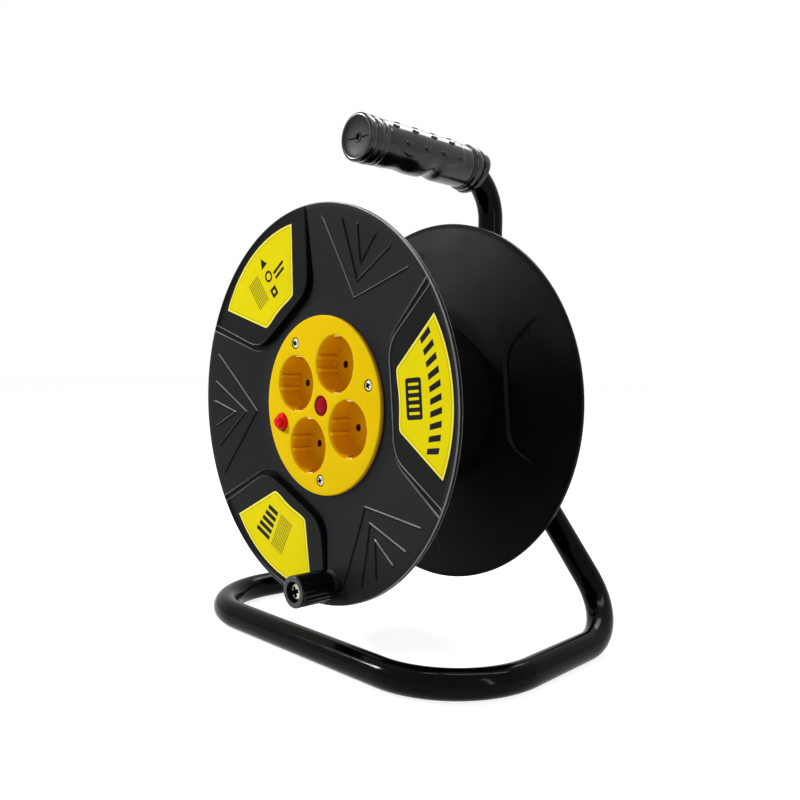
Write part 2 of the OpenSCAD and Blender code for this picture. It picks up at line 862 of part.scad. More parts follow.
module contact_carrier()
    color("#e8e6de")
        on_axle()
            difference() {
                union() {
                    at_sockets() translate([0, 0, well_back_z]) cylinder(r = carrier_pad_r, h = carrier_t);
                    translate([0, 0, well_back_z]) cylinder(r = carrier_hub_r, h = carrier_t);
                }
                at_sockets()
                    translate([-clip_w / 2 - fit_gap, -well_r, well_back_z - cut])
                        cube([clip_w + 2 * fit_gap, 2 * well_r, cut + clip_t + fit_gap]);
                for (x = pins)
                    pin_places(x) translate([0, 0, well_back_z - cut])
                        cylinder(r = sleeve_r + fit_gap, h = carrier_t + 2 * cut);
                translate([0, 0, well_back_z - cut])
                    cylinder(r = lamp_r + fit_gap, h = carrier_t + 2 * cut);
            }

// Flat bar between two points of a strip
module strip_bar(a, b) {
    d = b - a;
    translate(a) rotate(atan2(d.y, d.x)) translate([0, -strip_w / 2]) square([norm(d), strip_w]);
}

// Brass strip that joins the same pin of all four sockets, with a sleeve at each
module contact_strip(x, z) {
    places = [for (k = [1, 0, 3, 2]) sockets[k] + [x, 0]];
    difference() {
        union() {
            translate([0, 0, z]) linear_extrude(height = strip_t)
                for (i = [0:2]) strip_bar(places[i], places[i + 1]);
            pin_places(x) translate([0, 0, sleeve_z]) cylinder(r = sleeve_r, h = z + strip_t - sleeve_z);
        }
        pin_places(x) translate([0, 0, well_back_z]) cylinder(r = sleeve_in_r, h = z);
    }
}

module live_strip()
    color("#c8a24a") on_axle() contact_strip(pins[0], live_z);

module neutral_strip()
    color("#c8a24a") on_axle() contact_strip(pins[1], neutral_z);

// Sealed cut-out: a box with two ears that reach the back of the panel
module thermal_cutout()
    color("#1e1f22")
        on_axle()
            rotate(button_turn) translate([button_ring, 0, 0])
                difference() {
                    union() {
                        translate([-cutout_size.x / 2, -cutout_size.y / 2, cutout_z])
                            cube([cutout_size.x, cutout_size.y, cutout_l]);
                        for (s = [-1, 1])
                            translate([-cutout_ear.x / 2, s * cutout_ear_at - cutout_ear.y / 2,
                                       panel_back_z])
                                cube([cutout_ear.x, cutout_ear.y, cutout_z - panel_back_z + cut]);
                        for (s = [-1, 1])
                            translate([-cutout_tab.x / 2, s * cutout_tab_at - cutout_tab.y / 2,
                                       cutout_z + cutout_l])
                                cube(cutout_tab);
                    }
                    translate([0, 0, cutout_z - cut])
                        cylinder(d = button_stem_d + 2 * run_gap, h = cut + button_stem_l + button_travel);
                }

module reset_button()
    color("#d8101c")
        on_axle()
            translate([button_at.x, button_at.y, 0]) {
                translate([0, 0, panel_z - button_proud])
                    cylinder(d = button_cap_d, h = button_proud);
                translate([0, 0, panel_z - button_skirt_proud])
                    cylinder(d = button_skirt_d, h = button_skirt_back - panel_z + button_skirt_proud);
                translate([0, 0, panel_z])
                    cylinder(d = button_stem_d, h = cutout_z + button_stem_l - panel_z - button_travel);
            }

module indicator_lens()
    color("#8a0f20")
        on_axle()
            translate([0, 0, panel_z + lens_sink]) {
                cylinder(d = lens_d, h = lens_flange_t);
                cylinder(d = lens_stem_d, h = lens_flange_t + lens_stem_l);
            }

module indicator_lamp()
    color("#f2d0b0")
        on_axle()
            translate([0, 0, lamp_z]) {
                cylinder(r = lamp_r, h = carrier_back_z - lamp_z);
                for (s = [-1, 1])
                    translate([s * lamp_lead_at - lamp_lead.x / 2, -lamp_lead.y / 2,
                               carrier_back_z - lamp_z])
                        cube(lamp_lead);
            }

module terminal_block()
    color("#e8e6de")
        on_axle()
            translate([terminal_ring, 0, web_z - terminal_size.z])
                difference() {
                    translate([-terminal_size.x / 2, -terminal_size.y / 2, 0]) cube(terminal_size);
                    for (y = [-terminal_pitch, 0, terminal_pitch]) {
                        translate([0, y, -cut])
                            cylinder(d = terminal_hole_d, h = terminal_screw_hole + cut);
                        translate([-terminal_size.x, y, terminal_hole_z]) rotate([0, 90, 0])
                            cylinder(d = terminal_hole_d, h = 2 * terminal_size.x);
                    }
                }

// Rubber grommet in the wall of the core, where the cord enters
module cord_grommet()
    color("#111214")
        on_axle()
            rotate(cord_turn) translate([core_r - (grommet_l + wall) / 2, 0, cord_z]) rotate([0, 90, 0])
                difference() {
                    union() {
                        cylinder(r = grommet_neck_r, h = grommet_l);
                        for (z = [0, grommet_l - grommet_lip_t])
                            translate([0, 0, z])
                                cylinder(r = grommet_neck_r + grommet_lip, h = grommet_lip_t);
                    }
                    translate([0, 0, -cut]) cylinder(d = cord_d + loose_gap, h = grommet_l + 2 * cut);
                }

module clamp_screw_places()
    for (s = [-1, 1])
        rotate(cord_turn) translate([clamp_ring, s * clamp_screw_at, 0]) children();

// Bridge that holds the cord down on the web
module cord_clamp()
    color("#1e1f22")
        on_axle()
            difference() {
                rotate(cord_turn) translate([clamp_ring - clamp_size.x / 2, -clamp_size.y / 2, clamp_z])
                    cube([clamp_size.x, clamp_size.y, web_z - clamp_z]);
                rotate(cord_turn) translate([clamp_ring - clamp_size.x, 0, cord_z + clamp_grip])
                    rotate([0, 90, 0])
                        cylinder(d = cord_d, h = 2 * clamp_size.x);
                clamp_screw_places() cylinder(d = clamp_screw_d + 2 * fit_gap, h = drum_w);
            }

module clamp_screws()
    color("#b9bcc0")
        on_axle()
            clamp_screw_places()
                translate([0, 0, clamp_z])
                    cross_screw(clamp_screw_head[0], clamp_screw_head[1], clamp_screw_d,
                                web_z + web_t - clamp_z);

// ---- Winding knob ----

module winding_knob()
    color("#1a1b1d")
        on_axle()
            translate([knob_at.x, knob_at.y, knob_front_z])
                difference() {
                    cylinder(d = knob_d, h = knob_l);
                    for (k = [0:knob_flutes - 1])
                        rotate(360 / knob_flutes * k) translate([flute_ring, 0, flute_start])
                            cylinder(r = flute_r, h = knob_l);
                    translate([0, 0, -cut]) cylinder(r = knob_recess_r, h = knob_recess_l + cut);
                    cylinder(d = knob_pin_d + 2 * run_gap, h = knob_l + cut);
                }

// Shoulder screw: head in the knob's recess, thread through the flange into the nut
module knob_screw()
    color("#c9ccd0")
        on_axle()
            translate([knob_at.x, knob_at.y, knob_front_z + knob_recess_l - loose_gap]) {
                cross_screw(knob_head_d, knob_head_t, knob_pin_d, knob_shoulder_l);
                cylinder(d = knob_thread_d,
                         h = knob_shoulder_l + knob_nut_z - knob_boss_z + knob_nut_t + cut);
            }

module knob_nut()
    color("#b9bcc0")
        on_axle()
            translate([knob_at.x, knob_at.y, knob_nut_z])
                difference() {
                    cylinder(d = knob_nut_d, h = knob_nut_t, $fn = 6);
                    translate([0, 0, -cut])
                        cylinder(d = knob_thread_d + 2 * fit_gap, h = knob_nut_t + 2 * cut);
                }

floor_loop();
handle_tube();
handle_grip();
axle_bracket();
axle();
axle_spacer();
thrust_washer();
retaining_washer();
axle_screw();
front_flange();
rear_flange();
drum_core();
flange_screws();
front_bush();
rear_bush();
label_right();
label_upper();
label_lower();
socket_panel();
panel_screws();
earth_clips();
contact_carrier();
live_strip();
neutral_strip();
thermal_cutout();
reset_button();
indicator_lens();
indicator_lamp();
terminal_block();
cord_grommet();
cord_clamp();
clamp_screws();
winding_knob();
knob_screw();
knob_nut();
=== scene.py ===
from collections import Counter
from math import (acos, atan2, ceil, copysign, cos, degrees, dist, hypot, pi, radians, sin,
                  sqrt, tan)

import bmesh
import bpy
from mathutils import Matrix, Vector
from mathutils.geometry import delaunay_2d_cdt

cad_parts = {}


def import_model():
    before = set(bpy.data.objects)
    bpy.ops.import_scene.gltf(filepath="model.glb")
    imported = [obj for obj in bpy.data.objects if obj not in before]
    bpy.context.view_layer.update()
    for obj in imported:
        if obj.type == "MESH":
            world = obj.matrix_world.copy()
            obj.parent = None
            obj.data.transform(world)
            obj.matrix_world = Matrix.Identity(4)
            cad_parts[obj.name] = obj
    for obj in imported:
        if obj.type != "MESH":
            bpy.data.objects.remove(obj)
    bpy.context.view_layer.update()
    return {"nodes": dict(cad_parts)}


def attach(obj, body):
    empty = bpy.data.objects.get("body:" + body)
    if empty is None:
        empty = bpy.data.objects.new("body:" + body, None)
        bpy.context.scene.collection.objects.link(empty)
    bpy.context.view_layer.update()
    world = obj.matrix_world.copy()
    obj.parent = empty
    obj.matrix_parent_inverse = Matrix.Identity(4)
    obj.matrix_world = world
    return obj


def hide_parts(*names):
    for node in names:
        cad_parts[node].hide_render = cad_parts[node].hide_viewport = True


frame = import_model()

MM = 0.001
ORIGIN = (0.0, 0.0)
WELD_DIST = 2e-6         # metres
SHARP_ANGLE = 32.0

# ---- Driving dimensions, in millimetres and degrees ----

# Place of the drum: its axle's height, and its front rim. Drum shapes have x to the right, y up
# and z as the depth behind the front rim.
AXLE_Z = 174.7
RIM_Y = -79.8
DRUM_W = 125.0

# Flanges
FLANGE_R = 137.5
RIM_IN_R = 134.5
RIM_T = 3.6
RIM_ROUND = 0.7
EDGE_R = FLANGE_R - RIM_ROUND
DISH = 8.5
HUB_FLAT_R = 73.0
WALL = 3.0
OPENING_R = 57.0
REAR_HOLE_R = 11.18
HUB_R = 15.18
HUB_BACK_Z = 126.0
FLANGE_STEPS = 288
# Finish 2 paints a highlight on edges; 3 paints shade in grooves, on rim walls and on the shaded side of
# ribs; 4 paints shade on the rear flange's inner side.
FLANGE_FINISHES = ("drum_plastic", "window_plastic", "painted_edge_highlight", "deep_shade", "painted_inner_shade")

# Raised windows, with a lip around the face and a groove around the lip. Places across an edge are
# measured inwards from the window's outline.
WINDOW_TURN = 5.7
WINDOW_IN = 73.0
WINDOW_R = 133.0
WINDOW_HALF = 30.2
WINDOW_SLOPE = 36.0
WINDOW_CORNER = 24.0
WINDOW_Z_OUT = 0.8
WINDOW_Z_IN = 4.6
FACE_DEEP = 0.9          # depth of the face behind the lip
GROOVE_DEEP = 1.2
GROOVE_EDGE = (-3.75, -3.0)    # rounded outer edge of the groove
LIP_OUT = (-0.45, 0.05)        # wall between groove and lip
LIP_IN = (1.0, 1.5)            # step from the lip down to the face
RUN_OUT = (134.0, 136.9)       # distances from the axle over which groove and face meet the rim
POCKET = (2.4, 3.6)            # edge of the pocket behind the window

# Nested ribs in the spokes between the windows
RIB_TIPS = (80.0, 92.0, 104.0)
RIB_END_R = 127.0
RIB_SLOPES = (50.0, 38.0, 23.0)
RIB_HALF_W = 0.9
RIB_BACK = 0.3            # share of that width where the rounded back begins
RIB_H = 0.7
# Direction of the light: the rib side facing it gets a painted highlight, and the other side painted shade.
LIGHT_SIDE = (-0.3, 0.95)

# Labels
LABEL_SIDE = 17.9
LABEL_SLOPE = 38.0
LABEL_INNER = 7.6
LABEL_ARC_R = 106.0
LABEL_ARC_X = 25.8
LABEL_CORNER = 4.0
LABEL_BITE_R = 81.6
LABEL_T = 0.4
LABEL_EDGE = 0.8           # width of the pale line along the edge
LABEL_LINE = (1.7, 2.3)    # a faint darker line inside it
PRINT_T = 0.05

# Socket panel
PANEL_Z = 6.0
PANEL_R = 62.6
PANEL_EDGE = 1.0
PANEL_SEAT_Z = 8.48
PANEL_BACK_Z = 10.5
SPIGOT_R = 56.9
SOCKET_RING = 32.4
SOCKET_TURN = 63.4
WELL_R = 20.0
WELL_OUT_R = 21.8
WELL_FLOOR_Z = 23.5
WELL_BACK_Z = 26.5
LIP = 0.9
HOLE_LIP = 0.4
PIN_AT = 9.5
PIN_R = 2.6
GUIDE_W = 2.8
GUIDE_AT = 4.5             # from the line through the pin holes, on both sides
GUIDE_H = 2.8
CLIP_Y = 19.4
CLIP_W = 6.0
CLIP_T = 0.8
SCREW_RING = 52.3
SCREW_TURNS = (17.7, 124.6, 270.2)
SCREW_D = 6.8
SCREW_H = 1.6
SCREW_Z = 7.2
SCREW_WELL_R = 4.1
LENS_R = 7.1
LENS_Z = 6.6
BUTTON_RING = 47.2
BUTTON_TURN = 197.4
BUTTON_HOLE_R = 6.6
BUTTON_CAP_R = 4.0
BUTTON_SKIRT_R = 6.2
PANEL_STEPS = 192
WELL_STEPS = 96
HOLE_STEPS = 40
PIN_STEPS = 32
SCREW_FINISHES = ("zinc_steel", "deep_shade")

# Knob
KNOB_RING = 123.0
KNOB_TURN = -81.8
KNOB_R = 11.0
KNOB_FRONT = -29.4
KNOB_BACK = -2.4
KNOB_RECESS_R = 7.0
KNOB_RECESS_L = 5.0
KNOB_SCREW_END = 11.6
KNOB_HOLE_R = 2.6
FLUTES = 20
FLUTE_STEPS = 10
BOSS_R = 8.0
BOSS_Z = -2.0

# Rear of the drum
REAR_SCREWS = 6
REAR_SCREW_RING = 56.0
REAR_SCREW_R = 3.5
REAR_SCREW_H = 2.0

# Stand, in the reel's own frame
TUBE_R = 10.0
TUBE_WALL = 1.5
MAST_Y = 99.2
BAR_Y = -86.8
STAND_FRONT_X = 151.0
STAND_REAR_X = 137.0
BEND_FRONT = 65.0
BEND_REAR = 50.0
LEG_TOP_Z = 171.7
LEG_START = 22.0
MAST_BOTTOM_Z = 147.7
WELD_GAP = 0.2
LEG_BEAD = 1.5
HANDLE_Z = 358.63
HANDLE_BEND = 38.0
HANDLE_FALL = 1.4
GRIP_Y = -44.8
GRIP_Z = 362.14
GRIP_R = 17.0
GRIP_ARC = 24.0
GRIP_WALL = 4.0
VENT_R = 2.3

# Axle bracket
BRACKET_Z = 164.0
BRACKET_T = 5.0
BRACKET_HALF_W = 34.0
BRACKET_UP = 40.0
BRACKET_DOWN = 34.0
BRACKET_CORNER = 12.0
BRACKET_HOLE_R = 8.1
SEAM_BEAD = 1.3

# Light: name, place, size and watts of each lamp, in metres
LAMPS = (("key", (-1.3, -1.15, 1.25), (0.3, 0.3), 36), ("top", (0.2, 0.2, 1.6), (0.1, 1.4), 9),
         ("side", (1.5, -0.2, 0.8), (0.08, 1.2), 5), ("back", (-0.45, 1.15, 1.7), (0.7, 0.7), 14))
LAMP_TARGET = (0, 0, 0.18)
FLOOR_GLOW = 0.84
ROOM_LIGHT = 0.3

# Camera
CAMERA_AT = (0.483222, -0.448848, 0.21016)
CAMERA_YAW = 44.02
CAMERA_PITCH = 5.08
CAMERA_ROLL = 1.17
CAMERA_LENS = 39.374
CAMERA_SHIFT = (-0.05668, 0.04363)


# ---- Places ----

def sind(a):
    return sin(radians(a))


def cosd(a):
    return cos(radians(a))


def tand(a):
    return tan(radians(a))


def clamp(value, low=0.0, high=1.0):
    return min(max(value, low), high)


def polar(ring, turn, centre=ORIGIN):
    return centre[0] + ring * cosd(turn), centre[1] + ring * sind(turn)


def turned_point(point, turn):
    x, y = point
    return x * cosd(turn) - y * sind(turn), x * sind(turn) + y * cosd(turn)


def at_drum(x, y, z):
    """A point of the drum, in metres in the reel's own frame."""
    return x * MM, (RIM_Y + z) * MM, (AXLE_Z + y) * MM


def at_rear(x, y, z):
    """The same for the rear flange, which mirrors the front one."""
    return at_drum(x, y, DRUM_W - z)


def at_reel(point):
    return tuple(v * MM for v in point)


def moved(place, dx, dy, dz=0.0):
    """The place function with its origin moved."""
    return lambda x, y, z: place(x + dx, y + dy, z + dz)


def turned(place, turn):
    """The place function turned about its z axis."""
    return lambda x, y, z: place(*turned_point((x, y), turn), z)


SOCKETS = [polar(SOCKET_RING, SOCKET_TURN + 90 * k) for k in range(4)]
PANEL_SCREWS = [polar(SCREW_RING, turn) for turn in SCREW_TURNS]
BUTTON_AT = polar(BUTTON_RING, BUTTON_TURN)
KNOB_AT = polar(KNOB_RING, KNOB_TURN)


# ---- Lines and fields ----

def arc(centre, radius, start, end, steps):
    """Points of an arc, both ends included."""
    return [polar(radius, start + (end - start) * k / steps, centre) for k in range(steps + 1)]


def circle(centre, radius, steps):
    return arc(centre, radius, 0, 360, steps)[:-1]


def edge_loops(centre, radius, lip, steps):
    """Circles that shape a rounded edge. The lip is below 0 at an outer edge."""
    return [circle(centre, radius + lip * (1 - cosd(15 * k)), steps) for k in range(7)]


def edge_drop(near, radius):
    """How far a rounded edge lies behind its face, at a distance from the edge."""
    return radius - sqrt(max(0, radius ** 2 - clamp(radius - near, 0, radius) ** 2))


def ray_end(start, turn, radius, centre_x=0.0):
    """Where a ray meets a circle around the point (centre_x, 0)."""
    x, y = start[0] - centre_x, start[1]
    b = x * cosd(turn) + y * sind(turn)
    return polar(-b + sqrt(b * b + radius ** 2 - x * x - y * y), turn, start)


def mirrored(upper, tip=()):
    """A path and its mirror image about the x axis, with the tip between them."""
    return [*upper, *tip, *((x, -y) for x, y in reversed(upper))]


def divided(a, b, step):
    """Points from a to b, a step apart, without b."""
    count = max(1, round(dist(a, b) / step))
    return [tuple(p + (q - p) * k / count for p, q in zip(a, b)) for k in range(count)]


def rounded(corners, steps=5):
    """Points along corners given as (r, z, radius of rounding)."""
    out = []
    for i, (r, z, radius) in enumerate(corners):
        if radius == 0:
            out.append((r, z))
            continue
        here = Vector((r, z))
        ways = [(Vector(corners[j][:2]) - here).normalized() for j in (i - 1, i + 1)]
        half = ways[0].angle(ways[1]) / 2
        centre = here + (ways[0] + ways[1]).normalized() * radius / sin(half)
        start, end = (here + way * radius / tan(half) - centre for way in ways)
        turn = -degrees(start.angle_signed(end))
        out += [tuple(centre + Vector(turned_point(start, turn * k / steps))) for k in range(steps + 1)]
    return out


def inside_polygon(outline, x, y):
    hit = False
    for i, (ax, ay) in enumerate(outline):
        bx, by = outline[i - 1]
        if (ay > y) != (by > y) and x < (bx - ax) * (y - ay) / (by - ay) + ax:
            hit = not hit
    return hit


def within(outline, holes=()):
    """Test for a point inside an outline and outside its holes."""
    return lambda x, y: (inside_polygon(outline, x, y)
                         and not any(inside_polygon(hole, x, y) for hole in holes))


def clear_of(holes, slack=0.02):
    """Test for a point outside round holes, which begin with their centre and radius."""
    return lambda x, y: all(dist((x, y), hole[0]) > hole[1] - slack for hole in holes)


def middle(verts, face):
    return sum(verts[i][0] for i in face) / len(face), sum(verts[i][1] for i in face) / len(face)


def triangles(loops, keep, paths=(), points=()):
    """Triangles between closed loops, open paths and free points."""
    coords, edges = [], []
    for line, closed in [(loop, True) for loop in loops] + [(path, False) for path in paths]:
        first = len(coords)
        coords += [Vector(p) for p in line]
        edges += [(first + i, first + i + 1) for i in range(len(line) - 1)]
        if closed:
            edges.append((first + len(line) - 1, first))
    coords += [Vector(p) for p in points]
    verts, _, faces = delaunay_2d_cdt(coords, edges, [], 0, 1e-4)[:3]
    return [(v.x, v.y) for v in verts], [face for face in faces if keep(*middle(verts, face))]


def ramp(t):
    """Straight slope from 0 to 1 with a rounded foot and a rounded top."""
    soft = 0.22
    t = clamp(t)
    if t < soft:
        return t * t / (2 * soft * (1 - soft))
    if t > 1 - soft:
        return 1 - (1 - t) ** 2 / (2 * soft * (1 - soft))
    return (t - soft / 2) / (1 - soft)


def between(table, s):
    """Value at s in a table of (place, value)."""
    for (a, va), (b, vb) in zip(table, table[1:]):
        if s <= b:
            return va + (vb - va) * (s - a) / (b - a)
    return table[-1][1]


# ---- Mesh tools ----

def new_object(name, data):
    obj = bpy.data.objects.new(name, data)
    bpy.context.scene.collection.objects.link(obj)
    return obj


class Shell:
    """Points and faces of one piece. A tint is the number of a face's finish."""

    def __init__(self):
        self.points = []
        self.faces = []
        self.tints = []

    def add(self, points, faces, tint=0):
        first = len(self.points)
        self.points += points
        for face in faces:
            self.faces.append([first + i for i in face])
            self.tints.append(tint(face) if callable(tint) else tint)

    def piece(self, name, body, finishes, *replaces):
        """Makes the piece and puts it on its body, with its first finish as slot."""
        mesh = bpy.data.meshes.new(name)
        mesh.from_pydata(self.points, [], self.faces)
        for key in finishes:
            mesh.materials.append(FINISHES[key])
        mesh.polygons.foreach_set("material_index", self.tints)
        bm = bmesh.new()
        bm.from_mesh(mesh)
        bmesh.ops.remove_doubles(bm, verts=bm.verts, dist=WELD_DIST)
        loose = [v for v in bm.verts if not v.link_faces]
        bmesh.ops.delete(bm, geom=loose, context="VERTS")
        bmesh.ops.recalc_face_normals(bm, faces=bm.faces)
        bm.to_mesh(mesh)
        bm.free()
        mesh.polygons.foreach_set("use_smooth", [True] * len(mesh.polygons))
        mesh.set_sharp_from_angle(angle=radians(SHARP_ANGLE))
        obj = new_object(name, mesh)
        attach(obj, body)
        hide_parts(*replaces)


def skin(shell, rows, closed_rows=False, tint=0, capped=False):
    """Joins rings of points into a surface, with its ends closed if capped."""
    n, count = len(rows[0]), len(rows)
    faces = []
    for i in range(count if closed_rows else count - 1):
        j = (i + 1) % count
        faces += [[i * n + k, i * n + (k + 1) % n, j * n + (k + 1) % n, j * n + k] for k in range(n)]
    if capped:
        faces += [list(range(n)), list(range(count * n - 1, (count - 1) * n - 1, -1))]
    shell.add([p for row in rows for p in row], faces, tint)


def lathe(shell, place, profile, steps=64, closed=False, tint=0):
    """Turns a profile of (r, z) about the z axis."""
    rows = [[place(x, y, z) for x, y in circle(ORIGIN, r, steps)] for r, z in profile]
    skin(shell, rows, closed, tint)


def sheet(shell, place, field, height, tint=0):
    """Adds a field at a height, which is a number or a function."""
    verts, faces = field
    z = height if callable(height) else lambda x, y: height
    shell.add([place(x, y, z(x, y)) for x, y in verts], faces, tint)


def outer_edges(faces):
    """Edges that belong to one face only."""
    seen = Counter(tuple(sorted(edge)) for face in faces for edge in zip(face, [*face[1:], face[0]]))
    return [edge for edge, count in seen.items() if count == 1]


def slab(shell, place, field, front_z, back_z, front_tint, back_tint, wall_tint):
    """Solid between two heights over a field. Tints are functions of a face's middle."""
    verts, faces = field
    for height, tint in ((front_z, front_tint), (back_z, back_tint)):
        sheet(shell, place, field, height, lambda face: tint(*middle(verts, face)))
    for edge in outer_edges(faces):
        ends = [verts[i] for i in edge]
        points = [place(x, y, height(x, y)) for x, y in ends for height in (front_z, back_z)]
        shell.add(points, [[0, 2, 3, 1]], wall_tint(*middle(ends, (0, 1))))


# ---- Finishes ----

def colour(code):
    """Linear colour of an #RRGGBB code."""
    parts = [int(code[i:i + 2], 16) / 255 for i in (1, 3, 5)]
    return [c / 12.92 if c <= 0.04045 else ((c + 0.055) / 1.055) ** 2.4 for c in parts]


def feed(tree, node, inputs):
    """Sets a node's inputs, each to a value or to the output of another node."""
    for key, value in inputs.items():
        if isinstance(value, bpy.types.NodeSocket):
            tree.links.new(value, node.inputs[key])
        else:
            node.inputs[key].default_value = value


def wire(tree, kind, inputs, out=0, **settings):
    """Adds a node, and returns one of its outputs."""
    node = tree.nodes.new("ShaderNode" + kind)
    for key, value in settings.items():
        setattr(node, key, value)
    feed(tree, node, inputs)
    return node.outputs[out]


def finish(name, base, rough, rough_spread, grain, depth, mottle=0.1, scuffs=0.0, specular=0.5,
           metallic=0.0, mottle_size=25.0, clear=0.0):
    """Procedural finish. grain, depth and mottle_size are in millimetres."""
    material = bpy.data.materials.new(name)
    material.use_nodes = True
    tree = material.node_tree
    place = wire(tree, "TexCoord", {}, "Object")
    linear = colour(base)

    def noise(size, detail, stretch=(1, 1, 1)):
        vector = wire(tree, "Mapping", {"Vector": place, "Scale": stretch})
        return wire(tree, "TexNoise", {"Vector": vector, "Scale": 1 / (size * MM), "Detail": detail})

    def spread(value, low, high, start=0.3, end=0.7):
        return wire(tree, "MapRange", {"Value": value, "From Min": start, "From Max": end,
                                       "To Min": low, "To Max": high})

    def blend(share, first, second):
        return wire(tree, "Mix", {"Factor": share, "A": first, "B": second}, "Result", data_type="RGBA")

    patches = noise(mottle_size, 4)
    tone = blend(spread(patches, 0, 1), [c * (1 - mottle) for c in linear] + [1],
                 [min(1, c * (1 + mottle)) for c in linear] + [1])
    roughness = spread(patches, rough - rough_spread, rough + rough_spread)
    if scuffs:
        marks = spread(noise(2.2, 6, (1, 0.25, 2.5)), 0, scuffs, 0.62, 0.8)
        tone = blend(marks, tone, [0.25 + 0.75 * c for c in linear] + [1])
        roughness = wire(tree, "Math", {0: roughness, 1: marks}, operation="ADD")
    normal = wire(tree, "Bump", {"Distance": depth * MM, "Height": noise(grain, 3)})
    feed(tree, tree.nodes["Principled BSDF"], {
        "Base Color": tone, "Roughness": roughness, "Normal": normal, "Specular IOR Level": specular,
        "Metallic": metallic, "Transmission Weight": clear})
    return material


# Colour, roughness and its spread, size and depth of the grain, mottling, scuffs, specular level,
# metallic, size of the mottling, transmission
FINISHES = {name: finish(name, *values) for name, *values in (
    ("gloss_tube", "#020203", 0.12, 0.03, 2.5, 0.008, 0.15, 0.006, 0.06),
    ("grip_rubber", "#08080a", 0.2, 0.05, 1.4, 0.012, 0.1, 0.01, 0.4),
    # Lighter grey copy of the grip rubber: painted light on the grip's front end face.
    ("grip_end_painted_light", "#1c1d1f", 0.45, 0.05, 1.4, 0.01, 0.1, 0, 0.12),
    ("drum_plastic", "#131416", 0.5, 0.05, 0.7, 0.05, 0.08, 0.01, 0.08),
    ("window_plastic", "#090a0b", 0.34, 0.04, 1.6, 0.006, 0.1, 0.006, 0.07),
    # Pale grey painted highlight for rounded edges and the lit side of ribs.
    ("painted_edge_highlight", "#77797c", 0.35, 0.05, 0.7, 0.02, 0.2, 0, 0.4),
    ("deep_shade", "#040405", 0.4, 0.05, 0.7, 0.02, 0.1, 0, 0.05),
    # Darker copy of the drum plastic: painted shade for the rear flange's inner side.
    ("painted_inner_shade", "#0b0c0d", 0.45, 0.05, 0.7, 0.03, 0.08, 0, 0.06),
    # Near-black copy of the drum plastic: painted shade on the core between the flanges.
    ("painted_core_shade", "#060607", 0.5, 0.05, 0.7, 0.03, 0.08, 0, 0.06),
    ("panel_plastic", "#eec803", 0.36, 0.05, 1.4, 0.008, 0.02, 0.004, 0.03),
    # Deeper amber copy of the panel yellow: painted shade inside the socket wells.
    ("painted_well_shade", "#ebb004", 0.3, 0.05, 1.4, 0.008, 0.05, 0, 0.1),
    ("pin_shade", "#7a2a04", 0.5, 0.05, 1.4, 0.005, 0.1, 0, 0.05),
    # Orange copy of the panel yellow: painted shade on the panel's side wall.
    ("panel_edge", "#fdb216", 0.4, 0.05, 1.4, 0.008, 0.04, 0, 0.05),
    ("label_print", "#ebdb04", 0.4, 0.04, 2.0, 0.004, 0.03, 0.004, 0.04),
    ("label_edge", "#fff870", 0.4, 0.04, 2.0, 0.004, 0.03, 0, 0.2),
    ("label_line", "#cdb404", 0.4, 0.04, 2.0, 0.004, 0.03, 0, 0.1),
    ("label_ink", "#0a0a0b", 0.36, 0.05, 1.2, 0.003, 0.2, 0, 0.08),
    ("knob_plastic", "#060607", 0.3, 0.05, 0.9, 0.012, 0.1, 0.01, 0.16),
    # Lighter grey copy of the knob plastic: painted light on the knob's front collar.
    ("knob_face_painted_light", "#3c3d3f", 0.42, 0.05, 0.9, 0.015, 0.15, 0, 0.2),
    # Zinc colour, its cream tint partly a painted reflection of the yellow panel.
    ("zinc_steel", "#c4c1b0", 0.24, 0.06, 0.6, 0.006, 0.12, 0.06, 0.5, 1, 4),
    ("turned_steel", "#a9acb0", 0.28, 0.06, 0.4, 0.004, 0.08, 0, 0.5, 1),
    ("contact_brass", "#e8cf7c", 0.24, 0.06, 0.7, 0.005, 0.15, 0, 0.5, 1, 6),
    ("bush_plastic", "#d8d6cd", 0.4, 0.06, 1.0, 0.01),
    ("inner_plastic", "#3a3a3c", 0.5, 0.06, 0.8, 0.02),
    ("cutout_plastic", "#2a2320", 0.45, 0.06, 0.9, 0.015),
    ("button_plastic", "#e4060c", 0.22, 0.04, 1.2, 0.006, 0.04, 0.004, 0.12),
    ("lens_plastic", "#9c0a1c", 0.16, 0.04, 1.5, 0.004, 0.12, 0, 0.03, 0, 5),
    ("lamp_glass", "#e8e2da", 0.1, 0.03, 1.0, 0.002, 0.1, 0, 0.5, 0, 25, 0.8),
    ("grommet_rubber", "#101012", 0.55, 0.06, 0.8, 0.03),
)}


def dress_frame():
    """Gives each CAD node the finish of its own material, and the core a darker one: painted shade between
    the flanges.
    """
    for name, obj in frame["nodes"].items():
        slot = obj.data.materials[0].name.split(".")[0]
        obj.data.materials.clear()
        obj.data.materials.append(FINISHES["painted_core_shade" if name == "drum_core" else slot])


# ---- Flanges ----

EDGE_AT = polar(WINDOW_R, WINDOW_HALF)


def corner_centre(x, radius, slope, gap=0.0):
    """Centre of a corner at the line x, a gap inside a window's slanting side."""
    y = EDGE_AT[1] + (x - EDGE_AT[0]) * tand(WINDOW_SLOPE) - gap / cosd(WINDOW_SLOPE)
    return x + radius, y - radius * tand((90 - slope) / 2)


WINDOW_CENTRE = corner_centre(WINDOW_IN, WINDOW_CORNER, WINDOW_SLOPE)
LABEL_CENTRE = corner_centre(WINDOW_IN + LABEL_INNER, LABEL_CORNER, LABEL_SLOPE, LABEL_SIDE)

# The nested ribs of one spoke, whose middle is on +x: each runs from its tip to both of its ends
RIBS = [(tip, ray_end((tip, 0), slope, RIB_END_R), slope) for tip, slope in zip(RIB_TIPS, RIB_SLOPES)]


